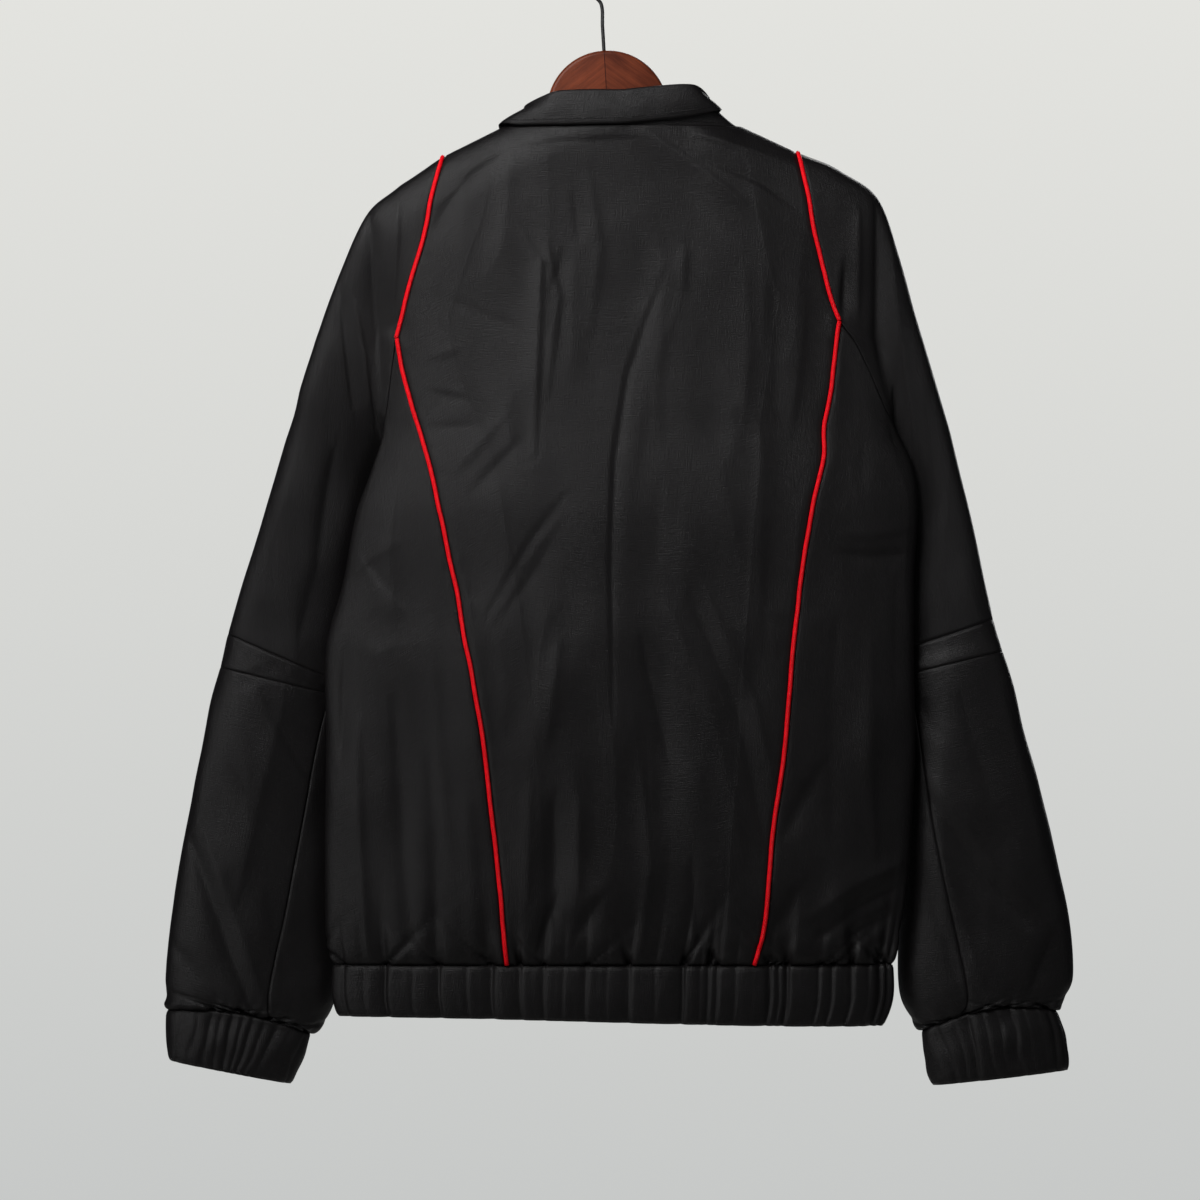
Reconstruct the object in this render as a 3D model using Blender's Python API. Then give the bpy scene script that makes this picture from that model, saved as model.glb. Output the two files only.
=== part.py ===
"""Windbreaker hung on a wooden hanger, built from cut pieces as shell walls.

Sizes are millimetres: x across (the wearer's left is negative), drop down from the crown of the
hanger's hook, y depth (the back of the garment faces -y).  Meshes are written in metres, z up.
"""
import math

import bmesh
import bpy
from mathutils import Vector

MM = 0.001

# ---- driving sizes ----
WALL = 1.5                  # cloth wall with its seam allowances
SEAM = 0.3                  # gap between pieces at a seam
PIPING = 5.0                # piping width
PIPE_GAP = PIPING / 2 + 4 * SEAM
NECK_X = 20.5               # middle of the garment
NECK_HALF = 98.0
NECK_DROP = 151.1
NECK_FRONT = 40.0           # how far the front neck falls below the back neck
FALL_L = 0.50               # slope of the shoulder seams
FALL_R = 0.466
SHOULDER_ROUND = 49.0
HEM_SEAM = 837.0
HEM_HEIGHT = 46.0
HEM_PLEATS = 50
CUFF_PLEATS = 18
SIDE_TURN = 0.45            # side seams, radians in front of the side edges
ZIP_HALF = 7.0              # half the width taken by the zip tapes

# ---- torso: a row per height ----
# drop, left edge, right edge, y of the side edges, depth of the back, depth of the front
TORSO = [
    (150.0, -212.0, 246.0, 0.0, 23.0, 24.0),
    (200.0, -205.0, 246.0, 0.0, 23.0, 25.0),
    (250.0, -198.0, 244.0, 0.0, 24.0, 28.0),
    (320.0, -184.0, 238.0, -2.0, 25.0, 34.0),
    (391.0, -174.5, 241.0, -6.0, 26.0, 42.0),
    (430.0, -184.0, 257.5, -9.0, 27.0, 45.0),
    (467.0, -197.0, 261.5, -11.0, 28.0, 47.0),
    (529.0, -209.5, 258.0, -12.0, 28.0, 49.0),
    (578.0, -222.5, 257.5, -13.0, 29.0, 51.0),
    (655.0, -222.0, 259.0, -13.0, 30.0, 53.0),
    (734.0, -222.0, 255.5, -13.0, 31.0, 54.0),
    (780.0, -221.0, 252.0, -13.0, 31.0, 53.0),
    (814.0, -218.5, 246.5, -12.0, 29.0, 50.0),
    (837.0, -216.0, 242.0, -12.0, 26.0, 46.0),
    (866.0, -215.0, 240.0, -12.0, 26.0, 45.0),
    (892.0, -207.0, 232.0, -12.0, 24.0, 43.0),
]

# ---- seams on the back: x, drop ----
ARMHOLE_BACK = {
    "l": [(-126.7, 175.7), (-131.5, 193.0), (-136.5, 212.6), (-139.8, 232.3), (-144.3, 252.0),
          (-150.7, 271.7), (-156.4, 291.4), (-161.3, 311.0), (-164.4, 325.0)],
    "r": [(164.4, 172.5), (168.5, 193.0), (172.6, 212.6), (175.9, 232.3), (180.5, 252.0),
          (185.3, 271.7), (190.3, 291.4), (197.6, 311.0)],
}
ARMHOLE_LOW = {
    "l": [(-167.6, 345.0), (-170.6, 368.0), (-172.8, 384.0)],
    "r": [(210.5, 328.0), (220.5, 348.0), (229.5, 368.0), (236.5, 384.0)],
}
ARMHOLE_FRONT = {
    "l": [(-126.7, 175.7), (-133.0, 205.0), (-138.0, 235.0), (-142.0, 265.0), (-146.5, 300.0),
          (-149.5, 335.0), (-151.5, 362.0), (-153.0, 382.0)],
    "r": [(164.4, 172.5), (171.0, 205.0), (178.0, 235.0), (184.0, 265.0), (190.5, 300.0),
          (199.0, 335.0), (209.0, 362.0), (216.5, 382.0)],
}
BACK_PIPING = {
    "l": [(-160.0, 350.4), (-154.6, 370.1), (-148.8, 389.8), (-142.7, 409.4), (-136.8, 429.1),
          (-128.3, 468.5), (-120.2, 507.8), (-111.9, 547.2), (-104.5, 586.6), (-97.6, 625.9),
          (-91.4, 665.3), (-86.9, 704.6), (-82.4, 744.0), (-78.4, 783.4), (-75.2, 822.7)],
    "r": [(194.9, 330.7), (192.7, 350.4), (190.3, 370.1), (184.5, 409.4), (177.9, 448.8),
          (170.6, 488.2), (164.9, 527.5), (160.2, 566.9), (156.5, 606.2), (153.4, 645.6),
          (148.9, 685.0), (142.9, 724.3), (139.4, 763.7), (135.6, 803.0), (131.3, 822.7)],
}
BACK_PIPING_HEM = {"l": -74.0, "r": 127.4}
JUNCTION = {"l": 325.0, "r": 311.0}
FRONT_JUNCTION = 340.0
ARMPIT_EDGE = 393.0         # where the armhole passes the side edge
ARMPIT = 402.0              # its lowest place, at the side seam

# ---- largest folds of the body: x, drop, x, drop, width, height (+ out, - in) ----
BODY_FOLDS = [
    (-64.0, 156.0, -140.0, 244.0, 22.0, -4.0),
    (-52.0, 240.0, -38.0, 430.0, 16.0, 3.0),
    (-26.0, 240.0, -40.0, 330.0, 12.0, -2.5),
    (54.0, 270.0, 12.0, 430.0, 14.0, -3.0),
    (12.0, 430.0, 12.0, 640.0, 12.0, -2.5),
    (30.0, 168.0, 100.0, 240.0, 20.0, -3.5),
    (80.0, 160.0, 165.0, 188.0, 14.0, 2.5),
    (144.0, 280.0, 144.0, 385.0, 24.0, -4.0),
    (-24.0, 450.0, -90.0, 550.0, 16.0, -2.5),
    (74.0, 535.0, 112.0, 640.0, 16.0, -3.0),
    (112.0, 640.0, 138.0, 740.0, 16.0, -2.5),
    (-34.0, 700.0, -50.0, 830.0, 20.0, -4.0),
    (246.0, 770.0, 180.0, 815.0, 16.0, -3.5),
    (198.0, 500.0, 252.0, 500.0, 14.0, -3.0),
    (-192.0, 500.0, -160.0, 545.0, 14.0, -3.0),
]

# ---- sleeve heads: share of the way to the sleeve's first ring, top x, drop ----
SLEEVE_HEAD = {
    "l": [(0.30, -159.0, 201.5), (0.62, -188.0, 226.0)],
    "r": [(0.30, 198.0, 190.0), (0.62, 229.0, 214.0)],
}

# ---- sleeves: a row per ring, head to cuff ----
# outer x, drop, inner x, drop, half depth, outer y, inner y, rise of the ring's middle
SLEEVE = {
    "l": [(-209.0, 267.0, -176.0, 421.0, 20.0, 1.0, 17.0, 0.0),
          (-231.5, 331.0, -183.0, 437.0, 22.0, 3.0, 19.0, 0.0),
          (-252.0, 396.0, -187.0, 454.0, 23.0, 4.0, 19.0, 0.0),
          (-271.5, 459.0, -195.0, 488.0, 25.0, 4.0, 14.0, 0.0),
          (-289.5, 521.0, -202.0, 551.0, 25.0, 5.0, 15.0, 0.0),
          (-301.8, 567.0, -207.0, 608.0, 25.0, 6.0, 15.0, 0.0),
          (-308.5, 594.0, -210.0, 618.0, 25.0, 6.0, 15.0, 0.0),
          (-317.5, 628.0, -212.0, 650.0, 26.0, 6.0, 15.0, 0.0),
          (-329.0, 685.0, -214.0, 706.0, 27.0, 6.0, 15.0, 0.0),
          (-341.0, 744.0, -214.0, 762.0, 27.0, 6.0, 15.0, 0.0),
          (-349.0, 803.0, -214.0, 817.0, 27.0, 6.0, 15.0, 0.0),
          (-353.0, 848.0, -216.0, 862.0, 26.0, 6.0, 15.0, 2.0),
          (-353.0, 864.0, -226.0, 884.0, 24.0, 6.0, 14.0, 4.0),
          (-357.0, 875.0, -239.0, 896.5, 21.0, 6.0, 13.0, 7.0)],
    "r": [(247.0, 256.0, 241.0, 421.0, 19.0, 1.0, 15.0, 0.0),
          (262.5, 310.0, 240.0, 436.0, 20.0, 4.0, 20.0, 0.0),
          (280.0, 370.0, 239.0, 456.0, 22.0, 6.0, 25.0, 0.0),
          (296.0, 430.0, 237.0, 482.0, 23.0, 7.0, 28.0, 0.0),
          (311.5, 489.0, 238.0, 524.0, 24.0, 7.0, 27.0, 0.0),
          (327.0, 554.0, 242.0, 582.0, 24.0, 7.0, 22.0, 0.0),
          (334.5, 580.0, 245.0, 601.5, 25.0, 6.0, 17.0, 0.0),
          (343.5, 612.0, 247.0, 636.0, 26.0, 6.0, 16.0, 0.0),
          (361.5, 685.0, 248.0, 706.0, 27.0, 6.0, 15.0, 0.0),
          (375.0, 744.0, 247.0, 762.0, 27.0, 6.0, 15.0, 0.0),
          (386.0, 803.0, 246.0, 817.0, 27.0, 6.0, 15.0, 0.0),
          (389.0, 846.0, 248.0, 861.0, 26.0, 6.0, 15.0, 2.0),
          (383.0, 864.0, 258.0, 881.0, 24.0, 6.0, 14.0, 6.0),
          (377.0, 876.0, 266.0, 893.0, 21.0, 6.0, 13.0, 10.0)],
}
CUFF = {
    "l": [(-357.0, 875.0, -239.0, 896.5, 21.0, 6.0, 13.0, 7.0),
          (-359.0, 898.0, -247.0, 916.0, 23.0, 6.0, 13.0, 3.0),
          (-361.0, 922.0, -256.5, 938.0, 21.0, 6.0, 12.0, 0.0)],
    "r": [(377.0, 876.0, 266.0, 893.0, 21.0, 6.0, 13.0, 10.0),
          (383.0, 897.0, 269.0, 914.0, 23.0, 6.0, 13.0, 5.0),
          (384.5, 920.0, 274.5, 935.0, 21.0, 6.0, 12.0, 0.0)],
}
ELBOW_TOP = 8                # rows of the sleeve table where its seams lie
ELBOW_LOW = 9
CUFF_SEAM = 16
# forearm seams: share of the forearm's length, turn from the outer edge round the back
FOREARM_SEAM = [(0.0, 0.43), (0.33, 0.37), (0.6, 0.335), (1.0, 0.29)]

# ---- collar: angle from the back middle (degrees), fold x, drop, y; fall edge drop ----
COLLAR_L = [
    (0.0, 22.0, 116.5, -22.0, 149.0),
    (30.0, -26.0, 117.5, -21.0, 150.5),
    (55.0, -44.0, 121.5, -16.0, 150.5),
    (90.0, -62.0, 134.0, -2.0, 150.5),
    (125.0, -46.0, 149.0, 14.0, 176.0),
    (150.0, -22.0, 162.0, 21.0, 190.0),
    (177.0, 17.0, 165.0, 24.0, 197.0),
]
COLLAR_R = [
    (0.0, 22.0, 116.5, -22.0, 149.0),
    (30.0, 70.0, 116.5, -21.0, 141.5),
    (55.0, 88.0, 121.5, -16.0, 138.5),
    (90.0, 101.0, 134.0, -2.0, 150.5),
    (125.0, 86.0, 149.0, 14.0, 176.0),
    (150.0, 63.0, 162.0, 21.0, 190.0),
    (177.0, 24.0, 165.0, 24.0, 197.0),
]

# ---- hanger, in its own plane: a across and b down from the top of the dome ----
HANGER_X = 5.3
HANGER_DROP = 88.0
HANGER_TILT = math.radians(3.4)
HANGER_THICK = 12.0
DOME = 50.0
ARM_TOP = [(50.5, 52.0), (56.0, 62.0), (70.0, 69.0), (90.0, 77.0), (113.0, 86.5), (137.0, 97.0), (160.0, 105.6),
           (178.0, 114.5)]
ARM_TIP = [(184.8, 121.5), (187.0, 129.0), (184.0, 136.5), (177.0, 138.5)]
ARM_LOW = [(150.0, 131.0), (115.0, 117.0), (80.0, 106.0), (45.0, 99.0), (15.0, 95.5), (0.0, 95.0)]
WIRE = 1.5
HOOK_INNER = 17.0

# ---- zip ----
SLIDER_DROP = 214.0
SLIDER = (9.0, 3.4, 11.0)
TAB = (6.0, 1.4, 24.0)

COLOURS = {
    "black_cloth": (0.012, 0.011, 0.013, 1.0),
    "red_piping": (0.60, 0.008, 0.02, 1.0),
    "black_zip": (0.02, 0.02, 0.02, 1.0),
    "brown_wood": (0.15, 0.045, 0.025, 1.0),
    "black_wire": (0.015, 0.015, 0.015, 1.0),
}


# ---------------------------------------------------------------- numbers
def hermite(keys, column, at):
    """Smooth value of a table's column at a place given in its first column."""
    if at <= keys[0][0]:
        return keys[0][column]
    if at >= keys[-1][0]:
        return keys[-1][column]
    i = 0
    while keys[i + 1][0] < at:
        i += 1
    x0, x1 = keys[i][0], keys[i + 1][0]
    y0, y1 = keys[i][column], keys[i + 1][column]
    before = keys[max(i - 1, 0)]
    after = keys[min(i + 2, len(keys) - 1)]
    m0 = (y1 - before[column]) / (x1 - before[0])
    m1 = (after[column] - y0) / (after[0] - x0)
    span = x1 - x0
    t = (at - x0) / span
    value = (2 * t**3 - 3 * t**2 + 1) * y0 + (t**3 - 2 * t**2 + t) * span * m0
    return value + (3 * t**2 - 2 * t**3) * y1 + (t**3 - t**2) * span * m1


def lerp(a, b, t):
    """Value between a and b."""
    return a + (b - a) * t


def ease(t):
    """Smooth step of t held between 0 and 1."""
    t = min(max(t, 0.0), 1.0)
    return t * t * (3.0 - 2.0 * t)


def measured(points):
    """Points (theta, drop) with the way to each of them in front."""
    keys = [(0.0, *points[0])]
    for a, b in zip(points, points[1:]):
        step = math.hypot((b[0] - a[0]) * 150.0, b[1] - a[1])
        keys.append((keys[-1][0] + max(step, 1e-6), *b))
    return keys


def path(points):
    """Smooth curve through points (theta, drop), called with 0 to 1 along its length."""
    keys = measured(points)
    total = keys[-1][0]
    return lambda s: (hermite(keys, 1, s * total), hermite(keys, 2, s * total))


# ---------------------------------------------------------------- torso
def ridge(x):
    """Drop of the shoulder line above a place across the garment."""
    if x < NECK_X:
        return NECK_DROP + FALL_L * (NECK_X - NECK_HALF - x)
    return NECK_DROP + FALL_R * (x - NECK_X - NECK_HALF)


def middle(drop):
    """Middle and half width of the torso at a drop."""
    left = hermite(TORSO, 1, drop)
    right = hermite(TORSO, 2, drop)
    return (left + right) / 2, (right - left) / 2


def fold_height(x, drop):
    """Sum of the body folds at a place on the back."""
    total = 0.0
    for x0, d0, x1, d1, width, height in BODY_FOLDS:
        run = (x1 - x0, d1 - d0)
        length = math.hypot(*run)
        along = ((x - x0) * run[0] + (drop - d0) * run[1]) / length
        off = ((x - x0) * run[1] - (drop - d0) * run[0]) / length
        ends = ease((along + width) / width) * ease((length + width - along) / width)
        total += height * ends * math.exp(-(off / (0.5 * width)) ** 2)
    return total


def torso(theta, drop):
    """Point of the torso's outside: theta 0 right edge, pi/2 back, pi left edge, 3pi/2 front."""
    centre, half = middle(drop)
    x = centre + half * math.cos(theta)
    rise = min(max((drop - ridge(x)) / SHOULDER_ROUND, 0.0), 1.0)
    top = math.sqrt(1.0 - (1.0 - rise) ** 2)
    y = hermite(TORSO, 3, drop)
    swing = math.sin(theta)
    if swing >= 0.0:
        y -= (hermite(TORSO, 4, drop) + fold_height(x, drop) * min(1.0, 2 * swing)) * swing ** 0.85 * top
        y -= SEAM / 2 * (1.0 - rise)
    else:
        y += hermite(TORSO, 5, drop) * (-swing) ** 1.4 * top
        y += SEAM / 2 * (1.0 - rise)
    return Vector((x, y, -drop))


def back_turn(x, drop):
    """Angle of a place on the back given by x."""
    centre, half = middle(drop)
    return math.acos(min(max((x - centre) / half, -1.0), 1.0))


def turn(x, drop, front, side):
    """Angle of a place on the back or front given by x."""
    angle = back_turn(x, drop)
    if not front:
        return angle
    return 2 * math.pi - angle if side == "l" else -angle


def beside(theta, drop, step):
    """Point a small turn away, level with the shoulder line near it and level lower down."""
    here = torso(theta, drop).x
    near = 1.0 - min(max((drop - ridge(here)) / SHOULDER_ROUND, 0.0), 1.0)
    slope = ridge(torso(theta + step, drop).x) - ridge(here)
    return torso(theta + step, drop + near * slope)


def nudge(theta, drop, distance):
    """Angle moved by a distance along the cloth."""
    step = 0.01
    speed = (beside(theta, drop, step) - beside(theta, drop, -step)).length / (2 * step)
    return theta + distance / speed


def outward(side):
    """Sign that leads from the body to the sleeve in theta on the back."""
    return 1.0 if side == "l" else -1.0


def gap_at(drop, junction):
    """Half gap of the armhole seam: wide where it holds piping."""
    return lerp(PIPE_GAP, SEAM / 2, ease((drop - junction) / 14.0))


def armhole(side, front, shift):
    """Armhole points (theta, drop) from the shoulder to the armpit, moved by shift gaps.

    The body keeps twice the seam from the line below the junctions, the sleeve half of it.
    """
    high = ARMHOLE_FRONT[side] if front else ARMHOLE_BACK[side] + ARMHOLE_LOW[side]
    junction = FRONT_JUNCTION if front else JUNCTION[side]
    sign = outward(side) * shift
    edge = math.pi if side == "l" else 0.0
    least = SEAM / 2 if shift > 0 else 3 * SEAM
    points = []
    for x, drop in high:
        away = sign * max(gap_at(drop, junction), least) * (-1.0 if front else 1.0)
        points.append((nudge(turn(x, drop, front, side), drop, away), drop))
    top_x = torso(*points[0]).x
    top_drop = ridge(top_x) + 0.002
    points[0] = (turn(top_x, top_drop, front, side), top_drop)
    if not front:
        points.append((edge, ARMPIT_EDGE - shift * least))
    points.append((edge + outward(side) * SIDE_TURN, ARMPIT - shift * least))
    return points


def whole_armhole(side, shift):
    """Curve round the armhole from the shoulder down the back, and its armpit's share."""
    back, front = armhole(side, False, shift), armhole(side, True, shift)
    first, second = measured(back)[-1][0], measured(front)[-1][0]
    return path(back + front[-2::-1]), first / (first + second)


def seam_line(side, shift):
    """Armhole and back piping seam (theta, drop) from the shoulder to the hem, moved over."""
    points = armhole(side, False, shift)[:len(ARMHOLE_BACK[side])]
    for x, drop in BACK_PIPING[side] + [(BACK_PIPING_HEM[side], HEM_SEAM - SEAM / 2)]:
        away = outward(side) * shift * PIPE_GAP
        points.append((nudge(turn(x, drop, False, side), drop, away), drop))
    return points


def frame_at(theta, drop):
    """Point and outward direction of the torso."""
    across = beside(theta, drop, 0.01) - beside(theta, drop, -0.01)
    down = torso(theta, drop + 0.02) - torso(theta, drop - 0.02)
    return torso(theta, drop), across.cross(down).normalized()


def joined(first, second, share):
    """Two curves end to end, the first over a share of the way."""
    return lambda s: first(s / share) if s < share else second((s - share) / (1.0 - share))


def patch(top, bottom, start, end):
    """Places (theta, drop) between four edge curves, called with shares across and down."""
    corners = (top(0.0), top(1.0), bottom(0.0), bottom(1.0))

    def place(u, v):
        out = []
        for i in (0, 1):
            ruled = lerp(top(u)[i], bottom(u)[i], v) + lerp(start(v)[i], end(v)[i], u)
            high = lerp(corners[0][i], corners[1][i], u)
            low = lerp(corners[2][i], corners[3][i], u)
            out.append(ruled - lerp(high, low, v))
        return out

    return place


# ---------------------------------------------------------------- meshes
def material(name):
    """Plain material of a named colour."""
    found = bpy.data.materials.get(name)
    if found:
        return found
    made = bpy.data.materials.new(name)
    made.use_nodes = True
    shader = made.node_tree.nodes["Principled BSDF"]
    shader.inputs["Base Color"].default_value = COLOURS[name]
    shader.inputs["Roughness"].default_value = 0.45
    return made


def add_object(name, verts, faces, colour):
    """One object from millimetre points and faces."""
    bm = bmesh.new()
    made = [bm.verts.new(Vector(v) * MM) for v in verts]
    for face in faces:
        bm.faces.new([made[i] for i in face])
    bmesh.ops.recalc_face_normals(bm, faces=bm.faces)
    mesh = bpy.data.meshes.new(name)
    bm.to_mesh(mesh)
    bm.free()
    obj = bpy.data.objects.new(name, mesh)
    mesh.materials.append(material(colour))
    bpy.context.scene.collection.objects.link(obj)
    return obj


def grid_faces(rows, cols, start, flip=False):
    """Quads of a grid whose points begin at start."""
    faces = []
    for i in range(rows):
        for j in range(cols):
            a = start + i * (cols + 1) + j
            quad = (a, a + 1, a + cols + 2, a + cols + 1)
            faces.append(quad[::-1] if flip else quad)
    return faces


def shell(name, outer, inner, colour):
    """Closed wall between two grids of points."""
    rows, cols = len(outer) - 1, len(outer[0]) - 1
    count = (rows + 1) * (cols + 1)
    verts = [p for row in outer for p in row] + [p for row in inner for p in row]
    faces = grid_faces(rows, cols, 0) + grid_faces(rows, cols, count, True)
    rim = [j for j in range(cols)]
    rim += [i * (cols + 1) + cols for i in range(rows)]
    rim += [rows * (cols + 1) + j for j in range(cols, 0, -1)]
    rim += [i * (cols + 1) for i in range(rows, 0, -1)]
    for a, b in zip(rim, rim[1:] + rim[:1]):
        faces.append((a, a + count, b + count, b))
    return add_object(name, verts, faces, colour)


def cloth(name, surface, cols, rows, colour="black_cloth", wall=WALL):
    """Cloth wall on surface(u, v), which gives points and outward directions."""
    outer, inner = [], []
    for i in range(rows + 1):
        line = [surface(j / cols, i / rows) for j in range(cols + 1)]
        outer.append([p for p, n in line])
        walls = [wall(j / cols, i / rows) if callable(wall) else wall for j in range(cols + 1)]
        inner.append([p - n * w for (p, n), w in zip(line, walls)])
    return shell(name, outer, inner, colour)


def sweep(name, stations, section, colour):
    """Solid bar through stations (point, across, out) with a section of (across, out) points."""
    verts, faces = [], []
    n = len(section)
    for point, across, out in stations:
        verts += [point + across * a + out * b for a, b in section]
    for k in range(len(stations) - 1):
        for j in range(n):
            a, b = k * n + j, k * n + (j + 1) % n
            faces.append((a, b, b + n, a + n))
    faces.append(tuple(range(n)))
    faces.append(tuple(range(len(verts) - 1, len(verts) - n - 1, -1)))
    return add_object(name, verts, faces, colour)


# ---------------------------------------------------------------- body pieces
def neck_front(x, room=0.0):
    """Drop of the front neck seam, with room to the collar."""
    share = min(abs(x - NECK_X) / (NECK_HALF + room), 1.0)
    return NECK_DROP + (NECK_FRONT + room) * math.sqrt(1.0 - share * share)


def build_back():
    """Back between the pipings."""
    left, right = seam_line("l", -1), seam_line("r", -1)
    first, last = torso(*left[0]).x, torso(*right[0]).x

    def top(u):
        x = lerp(first, last, u)
        drop = max(ridge(x) + 0.002, NECK_DROP + SEAM / 2)
        return back_turn(x, drop), drop

    bottom = path([left[-1], right[-1]])
    place = patch(top, bottom, path(left), path(right))
    cloth("back_centre", lambda u, v: frame_at(*place(u, v ** 1.4)), 20, 28)


def build_back_side(side):
    """Side back from the back piping round the edge to the side seam."""
    inner = path([p for p in seam_line(side, 1) if p[1] > JUNCTION[side] + 1.0])
    edge = math.pi if side == "l" else 0.0
    seam_turn = edge + outward(side) * (SIDE_TURN - 0.006)
    whole, bottom_way = whole_armhole(side, -1)
    low = [whole(bottom_way * k / 30) for k in range(30)]
    corner = (seam_turn, whole(bottom_way)[1])
    top = path([inner(0.0)] + [p for p in low if p[1] > inner(0.0)[1] + 8.0] + [corner])
    bottom = path([inner(1.0), (seam_turn, HEM_SEAM - SEAM / 2)])
    seam = path([corner, (seam_turn, HEM_SEAM - SEAM / 2)])
    place = patch(top, bottom, inner, seam)
    cloth("back_side_" + side, lambda u, v: frame_at(*place(u, v)), 8, 18)


def zip_turn(side, drop, away):
    """Angle of the zip's side at a distance from its middle."""
    x = NECK_X - 2.5 + (-away if side == "l" else away)
    return turn(x, drop, True, side)


def build_front(side):
    """Plain front from armhole and side seam to the zip."""
    edge = math.pi if side == "l" else 0.0
    seam_turn = edge + outward(side) * (SIDE_TURN + 0.006)
    whole, bottom_way = whole_armhole(side, -1)
    hole = [whole(lerp(1.0, bottom_way, k / 20)) for k in range(21)]
    hole[-1] = (seam_turn, hole[-1][1])
    low = HEM_SEAM - SEAM / 2
    start = joined(path(hole), path([hole[-1], (seam_turn, low)]), 0.34)
    reach = NECK_HALF + 1.0
    point = NECK_X - reach if side == "l" else NECK_X + reach
    zip_x = NECK_X - 2.5 + (-1 if side == "l" else 1) * (ZIP_HALF + SEAM)
    tip = torso(*hole[0]).x

    def top(u):
        if u < 0.3:
            x = lerp(tip, point, u / 0.3)
        else:
            x = lerp(zip_x, point, math.cos(math.pi / 2 * (u - 0.3) / 0.7))
        drop = max(neck_front(x, 1.0), ridge(x) + 0.002)
        return turn(x, drop, True, side), drop

    neck_low = top(1.0)[1]

    def end(v):
        drop = lerp(neck_low, low, v)
        return zip_turn(side, drop, ZIP_HALF + SEAM), drop

    bottom = path([(seam_turn, low), end(1.0)])
    place = patch(top, bottom, start, end)
    cloth("front_" + side, lambda u, v: frame_at(*place(u, v ** 1.5)), 10, 19)


def hem_bottom(x):
    """Drop of the hem band's lower edge."""
    return HEM_SEAM + HEM_HEIGHT + 4.0 * math.sin(math.radians((x - 15.0) * 0.4))


def hem_pleat(u):
    """Height of the band's gathers, uneven round the hem."""
    wander = 1.4 * math.sin(19 * u) + 0.9 * math.sin(44 * u + 1.0)
    return 1.4 * math.sin(2 * math.pi * HEM_PLEATS * u + wander)


def even_turns(first, last, drop, steps=720):
    """Angles at even distances round the torso, as a table of (share, angle)."""
    turns = [lerp(first, last, k / steps) for k in range(steps + 1)]
    lengths = [0.0]
    for a, b in zip(turns, turns[1:]):
        lengths.append(lengths[-1] + (torso(b, drop) - torso(a, drop)).length)
    return [(length / lengths[-1], a) for length, a in zip(lengths, turns)]


def build_hem():
    """Gathered hem band from zip to zip."""
    level = HEM_SEAM + HEM_HEIGHT / 2
    first, last = zip_turn("r", level, ZIP_HALF + 4 * SEAM), zip_turn("l", level, ZIP_HALF + 4 * SEAM)
    turns = even_turns(first, last, level)

    def surface(u, v):
        theta = hermite(turns, 1, u)
        drop = lerp(HEM_SEAM + SEAM / 2, hem_bottom(torso(theta, level).x), v)
        point, out = frame_at(theta, drop)
        calm = ease(u * 60) * ease((1 - u) * 60) * (0.25 + 0.75 * ease(v * 4))
        calm *= 0.3 + 0.7 * ease(3 * abs(math.sin(theta)))
        return point + out * hem_pleat(u) * calm, out

    cloth("hem_band", surface, HEM_PLEATS * 3, 2)


# ---------------------------------------------------------------- sleeves
def armhole_ring(side):
    """First ring of a sleeve, called with the turn from the shoulder round the back."""
    whole, bottom = whole_armhole(side, 1.1)

    def ring(t):
        t = t % 1.0
        share = 2 * t if t <= 0.5 else 2 * (1.0 - t)
        share -= 0.05 * math.sin(2 * math.pi * share)
        way = bottom * share if t <= 0.5 else 1.0 - (1.0 - bottom) * share
        return torso(*whole(way))

    return ring


def table_ring(row):
    """Ring of a sleeve from its table row."""
    ox, od, ix, idrop, depth, oy, iy, rise = row

    def ring(t):
        phi = 2 * math.pi * t + 0.16 * math.sin(4 * math.pi * t)
        along, side = math.cos(phi), math.sin(phi)
        x = (ox + ix) / 2 + (ox - ix) / 2 * along
        drop = (od + idrop) / 2 + (od - idrop) / 2 * along - rise * (1 - along * along)
        y = (oy + iy) / 2 + (oy - iy) / 2 * along
        y -= depth * math.copysign(abs(side) ** 0.75, side)
        return Vector((x, y, -drop))

    return ring


def head_ring(first, third, row):
    """Ring of a sleeve's head, between two rings and drawn up to its top."""
    share, x, drop = row
    lift = Vector((x, 0.0, -drop)) - first(0.0).lerp(third(0.0), share)

    def ring(t):
        high = max(math.cos(2 * math.pi * t), 0.0) ** 2
        return first(t).lerp(third(t), share) + lift * high

    return ring


def tube(rings):
    """Smooth surface through rings, called with turn and ring number."""
    last = len(rings) - 1

    def at(t, k):
        i = min(max(int(k), 0), last - 1)
        s = k - i
        p1, p2 = rings[i](t), rings[i + 1](t)
        p0 = rings[i - 1](t) if i > 0 else p1 * 2 - p2
        p3 = rings[i + 2](t) if i + 2 <= last else p2 * 2 - p1
        a = p0 * -0.5 + p1 * 1.5 - p2 * 1.5 + p3 * 0.5
        b = p0 - p1 * 2.5 + p2 * 2 - p3 * 0.5
        c = (p2 - p0) * 0.5
        return ((a * s + b) * s + c) * s + p1

    return at


def tube_frame(at, side, t, k):
    """Point and outward direction of a sleeve."""
    a = at(t + 0.004, k) - at(t - 0.004, k)
    b = at(t, k + 0.02) - at(t, k - 0.02)
    out = a.cross(b) if side == "r" else b.cross(a)
    return at(t, k), out.normalized()


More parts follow.
